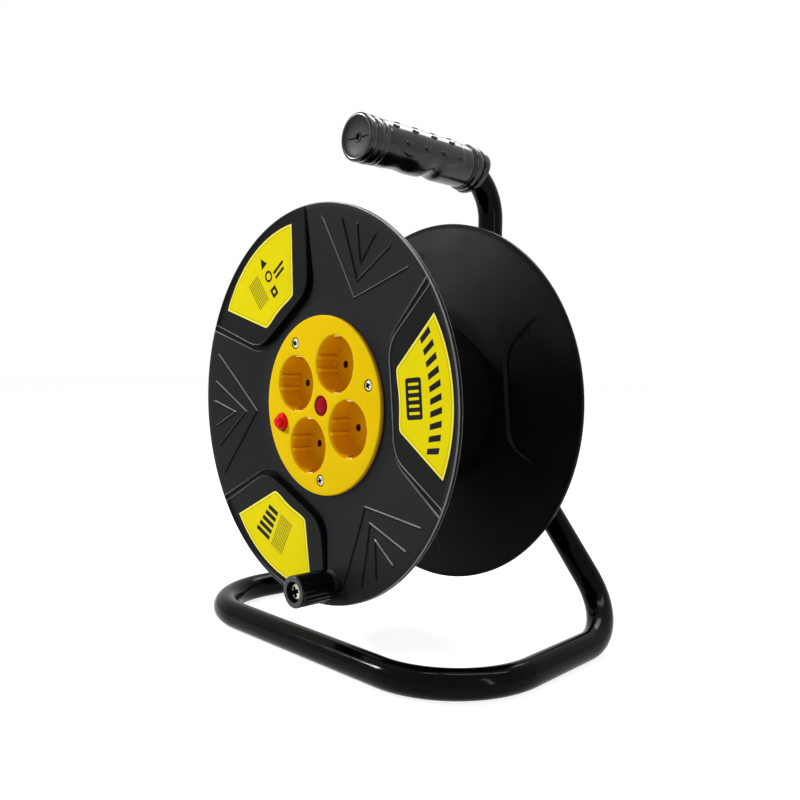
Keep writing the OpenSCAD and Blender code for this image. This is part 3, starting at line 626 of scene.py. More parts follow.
def in_sector(x, y, turn):
    """The point as seen from the nearest of three sectors, and that sector's turn."""
    sector = turn + 120 * round((degrees(atan2(y, x)) - turn) / 120)
    return *turned_point((x, y), -sector), sector


def window_inset(x, y):
    """How far a point lies inside the outline of the nearest window, below 0 outside it."""
    x, y, _ = in_sector(x, y, WINDOW_TURN)
    y = abs(y)
    turn = degrees(atan2(y - WINDOW_CENTRE[1], x - WINDOW_CENTRE[0]))
    if 90 + WINDOW_SLOPE <= turn <= 180:
        return WINDOW_CORNER - dist((x, y), WINDOW_CENTRE)
    slanting = (x - EDGE_AT[0]) * sind(WINDOW_SLOPE) - (y - EDGE_AT[1]) * cosd(WINDOW_SLOPE)
    return min(slanting, x - WINDOW_IN)


def window_path(inset, step=2.5):
    """Line inside the outline of the window at +x, from rim to rim."""
    bend = arc(WINDOW_CENTRE, WINDOW_CORNER - inset, 90 + WINDOW_SLOPE, 180, 10)
    start = ray_end(bend[0], WINDOW_SLOPE, EDGE_R - 0.15)
    straight = divided(bend[-1], (bend[-1][0], 0), step)[1:]
    return mirrored(divided(start, bend[0], step) + bend + straight)


def rib_offset(x, y):
    """Distance to the nearest rib line, and 1 on its lit side or -1."""
    u, v, sector = in_sector(x, y, WINDOW_TURN + 60)
    best, off = FLANGE_R, ORIGIN
    for tip, (bx, by), _ in RIBS:
        dx = bx - tip
        t = clamp(((u - tip) * dx + abs(v) * by) / (dx * dx + by * by))
        gap = (u - tip - t * dx, abs(v) - t * by)
        if hypot(*gap) < best:
            best, off = hypot(*gap), (gap[0], copysign(gap[1], gap[1] * v))
    off = turned_point(off, sector)
    return best, 1 if off[0] * LIGHT_SIDE[0] + off[1] * LIGHT_SIDE[1] > 0 else -1


def rib_paths():
    """Lines along each rib, at offsets that shape its rounded back."""
    paths = []
    for tip_x, (bx, by), slope in RIBS:
        for share in (-1, -RIB_BACK, RIB_BACK, 1):
            off = share * RIB_HALF_W
            tip = (tip_x - off / sind(slope), 0.0)
            end = (bx - off * sind(slope), by + off * cosd(slope))
            paths.append(mirrored(divided(end, tip, 2.0), [tip]))
    return paths


def lip_z(r):
    """Depth of a window's lip."""
    return WINDOW_Z_OUT + (WINDOW_R - r) * (WINDOW_Z_IN - WINDOW_Z_OUT) / (WINDOW_R - WINDOW_IN)


def dish_z(r):
    """Depth of the dished front face, with a soft turn at its flat middle."""
    soft = 3.0
    slope = DISH / (RIM_IN_R - HUB_FLAT_R)
    over = r - HUB_FLAT_R
    if over > soft:
        return max(0.0, DISH - slope * over)
    return DISH - slope * max(0, over + soft) ** 2 / (4 * soft)


def step(value, span):
    """Rounded step from 0 to 1 between the two ends of the span."""
    return ramp((value - span[0]) / (span[1] - span[0]))


def flange_front(x, y):
    r = hypot(x, y)
    dish = dish_z(r)
    inset = window_inset(x, y)
    z = dish + GROOVE_DEEP * step(inset, GROOVE_EDGE)
    z += (lip_z(r) - z) * step(inset, LIP_OUT)
    z += FACE_DEEP * step(inset, LIP_IN)
    z += (dish - z) * step(r, RUN_OUT)
    near = min(rib_offset(x, y)[0] / RIB_HALF_W, 1)
    return z - RIB_H * sqrt(1 - near ** 2) + edge_drop(FLANGE_R - r, RIM_ROUND)


def flange_back(x, y):
    r = hypot(x, y)
    slope = (DISH + WALL - RIM_T) / (RIM_IN_R - HUB_FLAT_R)
    z = clamp(DISH + WALL - slope * (r - HUB_FLAT_R), RIM_T, DISH + WALL)
    pocket = min(z, lip_z(r) + FACE_DEEP + WALL)
    return z + (pocket - z) * step(window_inset(x, y), POCKET) - edge_drop(FLANGE_R - r, RIM_ROUND)


def flange_fill(hole_r):
    """Free points on a flange, away from the edges of windows and ribs."""
    points = []
    ring = hole_r + 3.0
    while ring < RIM_IN_R - 1.2:
        count = int(2 * pi * ring / 3.0)
        for k in range(count):
            x, y = polar(ring, 360 * (k + 0.5 * (int(ring) % 2)) / count)
            off_edge = not GROOVE_EDGE[0] - 0.8 < window_inset(x, y) < POCKET[1] + 0.8
            if off_edge and rib_offset(x, y)[0] > RIB_HALF_W + 0.8:
                points.append((x, y))
        ring += 2.9
    return points


def flange_field(hole_r, *holes):
    """Triangles of a flange, finer along the edges of windows and ribs."""
    loops = edge_loops(ORIGIN, FLANGE_R, -RIM_ROUND, FLANGE_STEPS)
    loops += [circle(ORIGIN, r, FLANGE_STEPS) for r in (136.3, 135.7, 135.0, RIM_IN_R)]
    loops += [circle(ORIGIN, r, FLANGE_STEPS // 2) for r in (hole_r, hole_r + 0.5)]
    loops += [circle(*hole, 32) for hole in holes]
    spans = (GROOVE_EDGE, LIP_OUT, LIP_IN, POCKET)
    insets = [a + (b - a) * t for a, b in spans for t in (0, 0.2, 0.5, 0.8, 1)]
    windows = [window_path(inset) for inset in insets]
    paths = [[turned_point(p, WINDOW_TURN + 120 * k + shift) for p in path]
             for k in range(3) for lines, shift in ((windows, 0), (rib_paths(), 60)) for path in lines]
    return triangles(loops, clear_of([(ORIGIN, hole_r), *holes], 0), paths, flange_fill(hole_r))


def flange_tint(x, y):
    """Number of the finish: 0 plastic, 1 window, 2 painted highlight on edges and lit rib sides, 3 painted
    shade.
    """
    if hypot(x, y) > EDGE_R:
        return 2
    inset = window_inset(x, y)
    if inset > LIP_IN[0]:
        return 2 if inset < LIP_IN[1] - 0.1 else 1
    if inset > GROOVE_EDGE[0]:
        return 2 if inset < GROOVE_EDGE[1] - 0.2 else 3
    off, side = rib_offset(x, y)
    if off < RIB_HALF_W:
        return 2 if side > 0 and off > RIB_BACK * RIB_HALF_W else 3
    return 0


def split_tint(radius, outer, inner):
    """Tint that changes at a distance from the axle."""
    return lambda x, y: outer if hypot(x, y) > radius else inner


RIM_TINT = split_tint(RIM_IN_R, 3, 0)


def front_flange():
    shell = Shell()
    field = flange_field(OPENING_R, (KNOB_AT, KNOB_HOLE_R))
    # The back's rounded rim gets the painted edge highlight, and the rim walls get painted shade.
    slab(shell, at_drum, field, flange_front, flange_back, flange_tint, split_tint(EDGE_R, 2, 0),
         RIM_TINT)
    foot = dish_z(KNOB_RING) + 0.8
    boss = rounded([(KNOB_HOLE_R, foot + 2, 0), (KNOB_HOLE_R, BOSS_Z, 0.3), (BOSS_R, BOSS_Z, 0.9),
                    (BOSS_R, foot - 1.6, 1.4), (BOSS_R + 2.2, foot, 0), (BOSS_R, foot + 2, 0)])
    lathe(shell, moved(at_drum, *KNOB_AT), boss, 48, closed=True)
    shell.piece("front_disc", "drum", FLANGE_FINISHES, "front_flange")


def rear_flange():
    shell = Shell()
    field = flange_field(REAR_HOLE_R)
    # Its inner side in painted shade, and its rounded rim and rim walls in deeper painted shade.
    slab(shell, at_rear, field, flange_front, flange_back, flange_tint, split_tint(EDGE_R, 3, 4),
         RIM_TINT)
    hub_z = DRUM_W - HUB_BACK_Z
    hub = rounded([(REAR_HOLE_R, DISH + 1, 0), (REAR_HOLE_R, hub_z, 0.3), (HUB_R, hub_z, 0.8),
                   (HUB_R, DISH, 2.5), (HUB_R + 6, DISH, 0), (HUB_R + 6, DISH + 1, 0)])
    lathe(shell, at_rear, hub, 72, closed=True)
    top, foot = hub_z + 2.5, DISH + 0.4
    near, far = HUB_R - 1, HUB_R + 14
    side = [(near, top), (near + 2, top), (far, foot - 0.4), (far, foot), (near, foot)]
    for k in range(6):
        place = turned(at_rear, 60 * k)
        skin(shell, [[place(x, y, z) for x, z in side] for y in (-0.8, 0.8)], capped=True)
    shell.piece("rear_disc", "drum", FLANGE_FINISHES, "rear_flange")


# ---- Labels ----

def label_outline(margin=0.0):
    """Outline of a label on the window at +x, moved inwards by a margin."""
    bend = arc(LABEL_CENTRE, LABEL_CORNER - margin, 180, 90 + LABEL_SLOPE, 6)
    tip = ray_end(bend[-1], LABEL_SLOPE, LABEL_ARC_R - margin, LABEL_ARC_X)
    half = degrees(atan2(tip[1], tip[0] - LABEL_ARC_X))
    rim = arc((LABEL_ARC_X, 0), LABEL_ARC_R - margin, half, 0, 16)
    inner = [(bend[0][0], LABEL_CENTRE[1] * k / 8) for k in range(8)] + bend[:-1]
    scales = [max(1.0, (LABEL_BITE_R + margin) / hypot(*p)) for p in inner]
    upper = [(x * scale, y * scale) for (x, y), scale in zip(inner, scales)]
    upper += divided(bend[-1], tip, 2.0) + rim[:-1]
    return upper[:1] + mirrored(upper[1:], rim[-1:])


def face_z(lift):
    """Height function over the windows' conical faces."""
    return lambda x, y: lip_z(hypot(x, y)) + FACE_DEEP - lift


def spaced(values, step):
    """Places a step apart over the range of the values."""
    count = ceil((max(values) - min(values)) / step - 0.5)
    return [min(values) + step * (k + 0.5) for k in range(count)]


def patch(shell, place, outline, low, high, tint, holes=(), lines=()):
    """Thin plate on a window's face, between two heights above it."""
    xs, ys = zip(*outline)
    points = [(x, y) for x in spaced(xs, 4.0) for y in spaced(ys, 4.0) if inside_polygon(outline, x, y)]
    field = triangles([outline, *holes, *lines], within(outline, holes), points=points)
    slab(shell, place, field, face_z(high), face_z(low), tint, tint, tint)


def block(x0, x1, y0, y1):
    return [(x0, y0), (x1, y0), (x1, y1), (x0, y1)]


def rounded_block(x0, x1, y0, y1, radius):
    corners = block(x0 + radius, x1 - radius, y0 + radius, y1 - radius)
    return [p for k in range(4) for p in arc(corners[k - 2], radius, 90 * k, 90 * k + 90, 4)]


def sector(r0, r1, a0, a1, lean=0.0):
    """Bar across a ring, from angle a0 to a1, its outer end leaning by some degrees."""
    return arc(ORIGIN, r0, a0, a1, 3) + arc(ORIGIN, r1, a1 + lean, a0 + lean, 3)


# Prints of the labels: outlines with their holes, on the window at +x
BAND = [(sector(111, 121.5, a, a + 1.9, 1.6), []) for a in (-18 + 3.9 * k for k in range(10))]
BAND += [(rounded_block(88.5, 103.5, -13, 13, 2),
          [rounded_block(91, 101, y - 0.9, y + 0.9, 0.6) for y in (-9, -4.5, 0, 4.5, 9)])]
NOTICE = [(block(95, 117, y, y + 0.55), []) for y in (4.5 + 1.75 * k for k in range(8))]
NOTICE += [(rounded_block(92, 99, -8, -1, 1), [rounded_block(94, 97, -6, -3, 0.6)]),
           (circle((108, -6), 4.2, 24), [circle((108, -6), 2.6, 24)]),
           ([(116.5, -10.5), (123.5, -6.5), (116.5, -2.5)], []),
           (block(101, 103, -24, -12), []), (block(105, 107, -26, -12), [])]
BARS = [(block(93 + 5.2 * k, 96.2 + 5.2 * k, -21 - 1.2 * k, -9), []) for k in range(5)]
BARS += [(block(92, 118, y, y + 0.5), []) for y in (-5 + 1.7 * k for k in range(9))]


def label(name, turn, shapes):
    place = turned(at_drum, turn)
    shell = Shell()
    edges = [label_outline(margin) for margin in (LABEL_EDGE, *LABEL_LINE)]

    def plate_tint(x, y):
        return (2, 0, 3, 0)[sum(inside_polygon(edge, x, y) for edge in edges)]

    patch(shell, place, label_outline(), 0.0, LABEL_T, plate_tint, lines=edges)
    for outline, holes in shapes:
        patch(shell, place, outline, LABEL_T - 0.02, LABEL_T + PRINT_T, lambda x, y: 1, holes)
    shell.piece(name + "_plate", "drum", ("label_print", "label_ink", "label_edge", "label_line"), name)


# ---- Socket panel ----

# Place, radius, edge rounding and steps of each round hole in the panel
SMALL_HOLES = [(at, r, HOLE_LIP, HOLE_STEPS) for at, r in (
    *((at, SCREW_WELL_R) for at in PANEL_SCREWS), (ORIGIN, LENS_R + 0.15), (BUTTON_AT, BUTTON_HOLE_R))]
HOLES = [(at, WELL_R, LIP, WELL_STEPS) for at in SOCKETS] + SMALL_HOLES


def panel_front(x, y):
    z = PANEL_Z + edge_drop(PANEL_R - hypot(x, y), PANEL_EDGE)
    return z + sum(edge_drop(dist((x, y), at) - r, lip) for at, r, lip, _ in HOLES)


def lattice(radius, step, keep):
    """Points of a triangular lattice inside a circle."""
    rows = range(-int(radius / step) - 1, int(radius / step) + 2)
    points = [((i + 0.5 * (j % 2)) * step, j * step * 0.87) for j in rows for i in rows]
    return [p for p in points if hypot(*p) < radius and keep(*p)]


def socket_panel():
    shell = Shell()
    loops = edge_loops(ORIGIN, PANEL_R, -PANEL_EDGE, PANEL_STEPS)
    loops += [loop for hole in HOLES for loop in edge_loops(*hole)]
    fill = lattice(PANEL_R - 2, 4.0, clear_of([(at, r + lip + 1.5) for at, r, lip, _ in HOLES], 0))
    sheet(shell, at_drum, triangles(loops, clear_of(HOLES), points=fill), panel_front)
    edge = rounded([(PANEL_R, PANEL_Z + PANEL_EDGE, 0), (PANEL_R, PANEL_SEAT_Z, 0),
                    (SPIGOT_R, PANEL_SEAT_Z, 0), (SPIGOT_R, PANEL_BACK_Z, 0.4),
                    (SPIGOT_R - 1, PANEL_BACK_Z, 0)])
    # Side wall of the panel in orange painted shade.
    lathe(shell, at_drum, edge, PANEL_STEPS, tint=2)
    cups = [(at, WELL_OUT_R) for at in SOCKETS]
    loops = [circle(ORIGIN, SPIGOT_R - 1, PANEL_STEPS)] + [circle(*cup, WELL_STEPS) for cup in cups]
    loops += [circle(at, r, steps) for at, r, _, steps in SMALL_HOLES]
    sheet(shell, at_drum, triangles(loops, clear_of(cups + SMALL_HOLES)), PANEL_BACK_Z)
    # Walls of the small holes in painted shade.
    for at, r, lip, steps in SMALL_HOLES:
        lathe(shell, moved(at_drum, *at), [(r, PANEL_Z + lip), (r, PANEL_BACK_Z)], steps, tint=3)
    for centre in SOCKETS:
        well(shell, moved(at_drum, *centre))
    shell.piece("panel_moulding", "drum",
                ("panel_plastic", "painted_well_shade", "panel_edge", "deep_shade", "pin_shade"), "socket_panel")


def well(shell, place):
    """Cup of one socket, with its floor, pin holes and guide ribs."""
    wall = rounded([(WELL_R, PANEL_Z + LIP, 0), (WELL_R, WELL_FLOOR_Z, 0.8), (WELL_R - 2, WELL_FLOOR_Z, 0)])
    # Wall, floor and guide ribs of the well in the deeper amber painted shade.
    lathe(shell, place, wall, WELL_STEPS, tint=1)
    lathe(shell, place, [(WELL_OUT_R, PANEL_BACK_Z), (WELL_OUT_R, WELL_BACK_Z)], WELL_STEPS)
    pins = [((side * PIN_AT, 0), PIN_R) for side in (-1, 1)]
    chamfer, slope = 0.5, 0.9

    def floor_z(x, y):
        near = min(dist((x, y), pin) for pin, _ in pins) - PIN_R
        return WELL_FLOOR_Z + (chamfer - clamp(near, 0, chamfer)) * slope

    loops = [circle(ORIGIN, WELL_R - 2, WELL_STEPS)]
    loops += [circle(pin, r + wider, PIN_STEPS) for pin, r in pins for wider in (0, chamfer)]
    sheet(shell, place, triangles(loops, clear_of(pins)), floor_z, 1)
    loops = [circle(ORIGIN, WELL_OUT_R, WELL_STEPS)] + [circle(*pin, PIN_STEPS) for pin in pins]
    sheet(shell, place, triangles(loops, clear_of(pins)), WELL_BACK_Z)
    for pin, r in pins:
        bore = [(r, WELL_FLOOR_Z + chamfer * slope), (r, WELL_BACK_Z)]
        # Pin holes in reddish painted shade.
        lathe(shell, moved(place, *pin), bore, PIN_STEPS, tint=4)
    for side in (-1, 1):
        for shift in (-GUIDE_AT, GUIDE_AT):
            guide_rib(shell, place, side, shift)


def guide_rib(shell, place, side, shift):
    """Rib along the side of a well, with rounded edges and a sloping front."""
    top, root = WELL_R - GUIDE_H, WELL_R + 0.2
    low, high = shift - GUIDE_W / 2, shift + GUIDE_W / 2
    outline = rounded([(root, low, 0), (top, low, 0.7), (top, high, 0.7), (root, high, 0)], 4)
    sections = ((PANEL_Z + 1.0, 1.6), (PANEL_Z + 1.5, 0.6), (PANEL_Z + 2.6, 0.0), (WELL_FLOOR_Z + 0.5, 0.0))
    rows = [[place(side * min(x + pull, root), y, z) for x, y in outline] for z, pull in sections]
    # In the same amber painted shade as the well's wall.
    skin(shell, rows, tint=1, capped=True)


def cross_head(shell, place, radius, height):
    """Domed screw head on z = 0, towards -z, with a cross recess."""
    arm, half, floor_z = 0.62 * radius, 0.24 * radius, -0.1 * height
    cross = [turned_point(p, 90 * k) for k in range(4) for p in ((arm, half), (half, half), (half, arm))]
    pit = [(0.8 * x, 0.8 * y) for x, y in cross]

    def dome(x, y):
        u = min(hypot(x, y) / radius, 1)
        return -height * (0.35 + 0.65 * sqrt(max(0, 1 - u ** 3)))

    loops = [circle(ORIGIN, radius * u, 40) for u in (1, 0.985, 0.95, 0.88, 0.76)]
    sheet(shell, place, triangles([*loops, cross], within(loops[0], [cross])), dome)
    rows = [[place(x, y, dome(x, y)) for x, y in cross], [place(x, y, floor_z) for x, y in pit]]
    # The recess walls and floor in painted shade.
    skin(shell, rows, tint=1)
    sheet(shell, place, triangles([pit], within(pit)), floor_z, 1)
    lathe(shell, place, [(radius, -0.35 * height), (radius, 0), (0, 0)], 40)


def screws(name, node, places, radius, height):
    """Cross-head screws with thin shanks."""
    shell = Shell()
    for place in places:
        cross_head(shell, place, radius, height)
        lathe(shell, place, [(0, 0), (1.5, 0), (1.5, 12), (0, 13)], 24)
    shell.piece(name, "drum", SCREW_FINISHES, node)


def panel_screws():
    places = [turned(moved(at_drum, *at, SCREW_Z), 25 + 40 * k) for k, at in enumerate(PANEL_SCREWS)]
    screws("panel_screw_set", "panel_screws", places, SCREW_D / 2, SCREW_H)


def rear_screws():
    ring = [polar(REAR_SCREW_RING, 360 / REAR_SCREWS * (k + 0.5)) for k in range(REAR_SCREWS)]
    places = [turned(moved(at_rear, *at, DISH), 17 * k) for k, at in enumerate(ring)]
    screws("rear_screw_set", "flange_screws", places, REAR_SCREW_R, REAR_SCREW_H)


def lens():
    dome_r = LENS_R - 1.6
    profile = [(dome_r * sind(15 * k), -0.55 * cosd(15 * k)) for k in range(7)]
    profile += [(dome_r + 0.2, 0.5), (dome_r + 0.6, 0.5), (dome_r + 0.7, -0.1), (dome_r + 0.9, -0.25),
                (LENS_R - 0.3, -0.2), (LENS_R, 0.1), (LENS_R, 1.6), (LENS_R - 1, 1.6),
                (LENS_R - 1, 6.6), (0, 6.6)]
    shell = Shell()
    lathe(shell, moved(at_drum, 0, 0, LENS_Z), profile)
    shell.piece("lens_dome", "drum", ("lens_plastic",), "indicator_lens")


def button():
    profile = rounded([(0, 0.8, 0), (BUTTON_CAP_R, 1.1, 1.1), (BUTTON_CAP_R, 4.0, 0.6),
                       (BUTTON_SKIRT_R, 4.0, 0.8), (BUTTON_SKIRT_R, 11.1, 0), (2.5, 11.1, 0),
                       (2.5, 19.1, 0.4), (0, 19.1, 0)])
    shell = Shell()
    lathe(shell, moved(at_drum, *BUTTON_AT), profile, 56)
    shell.piece("button_cap", "button", ("button_plastic",), "reset_button")


def clips():
    """Bent earth springs at the top and bottom of each well."""
    shell = Shell()
    half_w, half_t = CLIP_W / 2, CLIP_T / 2
    line = [(0.0, 2.2), (-0.5, 3.2), (-1.3, 5.5), (-1.7, 8.0), (-1.2, 11), (-0.4, 14), (0.0, 17),
            (0.0, WELL_BACK_Z + 0.8 - PANEL_Z)]
    for centre in SOCKETS:
        place = moved(at_drum, *centre, PANEL_Z)
        for side in (-1, 1):
            rows = []
            for shift, z in line:
                y = CLIP_Y + shift
                section = rounded_block(-half_w, half_w, y - half_t, y + half_t, 0.25)
                rows.append([place(x, side * y, z) for x, y in section])
            skin(shell, rows, capped=True)
    shell.piece("earth_springs", "drum", ("contact_brass",), "earth_clips")


# ---- Knob ----

def knob():
    """Smooth collar at the front with a recess for the screw, and flutes behind it."""
    shell = Shell()
    place = moved(at_drum, *KNOB_AT)
    steps = FLUTES * FLUTE_STEPS
    face_rows = range(5, 10)
    edge = rounded([(KNOB_RECESS_R, KNOB_RECESS_L, 0), (KNOB_RECESS_R, 0, 0.5), (KNOB_R, 0, 0.9),
                    (KNOB_R, 0.9, 0)])
    side = [(KNOB_R, z) for z in (0.9, 1.6, 2.4, 2.9, 3.3, 3.7, 4.1, 4.7, 7, 12, 18, 23, 25.4, 26.4)]
    back = KNOB_BACK - KNOB_FRONT
    profile = [(4.2, KNOB_RECESS_L), *edge[:-1], *side, (KNOB_R - 1.2, back), (4.2, back)]

    def radius(r, z, k):
        flute = clamp(1 - 2.6 * (1 - abs(cos(pi * k / FLUTE_STEPS))))
        return r if r < KNOB_R else r - 1.1 * clamp((z - 2.2) / 1.6) * flute

    rows = [[place(*polar(radius(r, z, k), 360 * k / steps), KNOB_FRONT + z) for k in range(steps)]
            for r, z in profile]

    # The front collar is painted lighter for the light on it, and the screw recess is in painted shade.
    def tint(face):
        row = face[0] // steps
        return 1 if row in face_rows else 2 if row < face_rows[0] else 0

    skin(shell, rows, closed_rows=True, tint=tint)
    shell.piece("knob_moulding", "knob", ("knob_plastic", "knob_face_painted_light", "deep_shade"), "winding_knob")


def knob_screw():
    shell = Shell()
    head_z = KNOB_FRONT + KNOB_RECESS_L - 0.4
    place = turned(moved(at_drum, *KNOB_AT, head_z), 20)
    cross_head(shell, place, 6.0, 3.0)
    neck, end = BOSS_Z - head_z, KNOB_SCREW_END - head_z
    stem = rounded([(0, 0, 0), (4.0, 0, 0), (4.0, neck, 0.2), (2.5, neck, 0), (2.5, end, 0.5), (0, end, 0)])
    lathe(shell, place, stem, 40)
    shell.piece("knob_bolt", "drum", SCREW_FINISHES, "knob_screw")


# ---- Stand ----

def bent_path(points, bends, turn_step=3.0, step=12.0):
    """Points of a path with round bends, and its direction at each."""
    path, start = [], points[0]
    for before, corner, after, radius in zip(points, points[1:], points[2:], bends):
        u, v = (corner - before).normalized(), (after - corner).normalized()
        turn = u.angle(v)
        trim = radius * tan(turn / 2)
        axis = u.cross(v).normalized()
        begin = corner - u * trim
        centre = begin + axis.cross(u) * radius
        path += [(Vector(p), u) for p in divided(start, begin, step)]
        count = max(2, round(degrees(turn) / turn_step))
        spins = [Matrix.Rotation(turn * k / count, 3, axis) for k in range(count)]
        path += [(centre + spin @ (begin - centre), spin @ u) for spin in spins]
        start = corner + v * trim
    return path + [(Vector(p), v) for p in divided(start, points[-1], step)] + [(points[-1], v)]


def ring_around(centre, side, up, radius, steps):
    return [centre + (side * cosd(360 * k / steps) + up * sind(360 * k / steps)) * radius
            for k in range(steps)]


def tube_rings(path, radius, up, trim=None):
    """Rings of points along a path, without twist. trim moves a point of the end rings."""
    rings = []
    for i, (centre, along) in enumerate(path):
        up = (up - along * up.dot(along)).normalized()
        ring = ring_around(centre, along.cross(up), up, radius, 40)
        if trim and i in (0, len(path) - 1):
            ring = [trim(p, along if i else -along) for p in ring]
        rings.append(ring)
    return rings


def tube(shell, path, up, trim=None):
    """Hollow tube, closed inside. Returns its outer rings."""
    outer = tube_rings(path, TUBE_R, up, trim)
    inner = tube_rings(path, TUBE_R - TUBE_WALL, up, trim)
    skin(shell, [[at_reel(p) for p in ring] for ring in outer + inner[::-1]], closed_rows=True)
    return outer


def to_mast(p, d):
    """The point moved along d to the mast's surface."""
    px, py = p.x, p.y - MAST_Y
    a = d.x ** 2 + d.y ** 2
    b = px * d.x + py * d.y
    c = px * px + py * py - (TUBE_R + WELD_GAP) ** 2
    return p + d * ((-b - sqrt(max(0, b * b - a * c))) / a)


def bead(shell, line, size, ripple=0.25, pitch=2.2, step=0.55):
    """Rippled weld bead along a line of points."""
    curve = [Vector(p) for a, b in zip(line, line[1:]) for p in divided(a, b, step)]
    last = len(curve) - 1
    run, rows = 0.0, []
    for i, p in enumerate(curve):
        before = curve[max(i - 1, 0)]
        along = (curve[min(i + 1, last)] - before).normalized()
        side = along.cross((0.1, 0.95, 0.2) if abs(along.y) < 0.9 else RIGHT).normalized()
        run += (p - before).length
        radius = size * (1 + ripple * sin(2 * pi * run / pitch)) * (1 if 0 < i < last else 0.3)
        rows.append([at_reel(v) for v in ring_around(p, side, side.cross(along).normalized(), radius, 8)])
    skin(shell, rows, capped=True)


def weld_line(ring):
    """Line of the weld around a leg's end, above the mast's lower end."""
    back = MAST_Y + TUBE_R - 1.3 * LEG_BEAD
    low = MAST_BOTTOM_Z + 1
    first = next((i for i, p in enumerate(ring) if p.z > low >= ring[i - 1].z), 0)
    run = ring[first:] + ring[:first]
    return [Vector((p.x, min(p.y, back), p.z)) for p in run if p.z > low]


def floor_loop():
    top = Vector((0, MAST_Y, LEG_TOP_Z))
    rear = Vector((STAND_REAR_X, MAST_Y, TUBE_R))
    front = Vector((STAND_FRONT_X, BAR_Y, TUBE_R))
    flip = Vector((-1, 1, 1))
    corners = [rear * flip, front * flip, front, rear]
    ends = [top + (corner - top).normalized() * LEG_START for corner in (corners[0], corners[-1])]
    path = bent_path([ends[0], *corners, ends[1]], [BEND_REAR, BEND_FRONT, BEND_FRONT, BEND_REAR])
    shell = Shell()
    rings = tube(shell, path, Vector((0, 1, 0)), to_mast)
    for ring in (rings[0], rings[-1]):
        bead(shell, weld_line(ring), LEG_BEAD)
    shell.piece("floor_tube", "frame", ("gloss_tube",), "floor_loop")


# ---- Handle ----

RIGHT = Vector((1, 0, 0))
HANDLE_FRONT = Vector((0, GRIP_Y, GRIP_Z))
HANDLE_CORNER = Vector((0, MAST_Y, HANDLE_Z))
HANDLE_RUN = (HANDLE_CORNER - HANDLE_FRONT).normalized()
GRIP_STRAIGHT = (HANDLE_CORNER - HANDLE_FRONT).length - HANDLE_BEND * tand((90 - HANDLE_FALL) / 2)
GRIP_LENGTH = GRIP_STRAIGHT + radians(GRIP_ARC) * HANDLE_BEND

# Front end of the grip: distance from the front face, and depth below the full radius
GRIP_NOSE = ((0.0, 1.7), (0.3, 0.8), (0.9, 0.25), (1.6, 0.03), (4.6, 0.03), (5.1, 0.25), (5.5, 0.9),
             (6.4, 1.1), (7.3, 0.9), (7.8, 0.3), (8.4, 0.05), (11.6, 0.05), (12.3, 0.3), (12.8, 1.1),
             (14.0, 1.35), (15.2, 1.1), (16.0, 0.4), (17.0, 0.1))
# Rear end of the grip: distance from the rear face, and height above the full radius
GRIP_TAIL = ((0.0, -1.4), (0.3, -0.3), (1.0, 0.7), (1.8, 1.0), (5.0, 1.05), (5.8, 0.6), (6.3, -0.8),
             (7.2, -1.1), (8.0, -0.7), (8.6, 0.4), (9.4, 0.8), (13.5, 0.7), (14.6, 0.0),
             (15.2, -1.1), (16.2, -1.3), (17.0, -0.9), (19.5, -0.6))
# Section of the front face: distance from the grip's middle and from its front face
GRIP_FACE = ((14.6, 0.05), (13.9, 0.5), (12.8, 1.1), (10.0, 1.7), (6.0, 2.1), (3.6, 2.2), (2.9, 1.7),
             (VENT_R, 1.8), (VENT_R - 0.1, 3.2), (0.001, 3.3))
# Finger hollows: place along the grip, half width and depth
WAVES = ((69.0, 9.5, 2.3), (38.0, 14.0, 0.9))
# Rows of nubs: angle, place of the first, pitch and count
NUB_ROWS = ((43.0, 27.0, 19.0, 4), (2.0, 36.5, 18.0, 4), (84.0, 36.5, 18.0, 4))


def handle_tube():
    start = HANDLE_FRONT + HANDLE_RUN * (GRIP_WALL + 0.1)
    bottom = Vector((0, MAST_Y, MAST_BOTTOM_Z))
    shell = Shell()
    tube(shell, bent_path([start, HANDLE_CORNER, bottom], [HANDLE_BEND]), RIGHT)
    shell.piece("mast_tube", "frame", ("gloss_tube",), "handle_tube")


def side_pad(s, turn):
    """Low raised field on each side of the grip, which ends in a scalloped edge."""
    around = degrees(acos(clamp(abs(cosd(turn)))))
    reach = 90.0 if sind(turn) >= 0 else 20 + 7 * sin(2 * pi * (s - 30) / 36)
    return 0.35 * ramp((s - 19) / 2.5) * ramp((96 - s) / 2.5) * ramp((reach - around) / 5 + 0.5)


def grip_radius(s, turn):
    """Radius of the grip at a distance from its front face; turn is 90 on top and -90 below."""
    nose, tail = GRIP_NOSE[-1][0], GRIP_TAIL[-1][0]
    if s < nose:
        return GRIP_R - between(GRIP_NOSE, s)
    if GRIP_LENGTH - s < tail:
        return GRIP_R + between(GRIP_TAIL, GRIP_LENGTH - s)
    r = GRIP_R + 0.2 * sin(pi * (s - nose) / (GRIP_LENGTH - tail - nose)) - 0.75
    below = max(0.0, -sind(turn)) ** 1.5
    for at, half, depth in WAVES:
        u = clamp(abs(s - at) / half)
        r -= depth * below * (0.5 + 0.5 * cos(pi * u))
    return r + side_pad(s, turn)


def grip_stations():
    """Distances along the grip, finer at both ends."""
    nose, tail = [s for s, _ in GRIP_NOSE], [GRIP_LENGTH - s for s, _ in reversed(GRIP_TAIL)]
    body = [nose[-1] + k for k in range(1, int(tail[0] - nose[-1]))]
    return nose + [s for s in body if s < tail[0] - 0.4] + tail


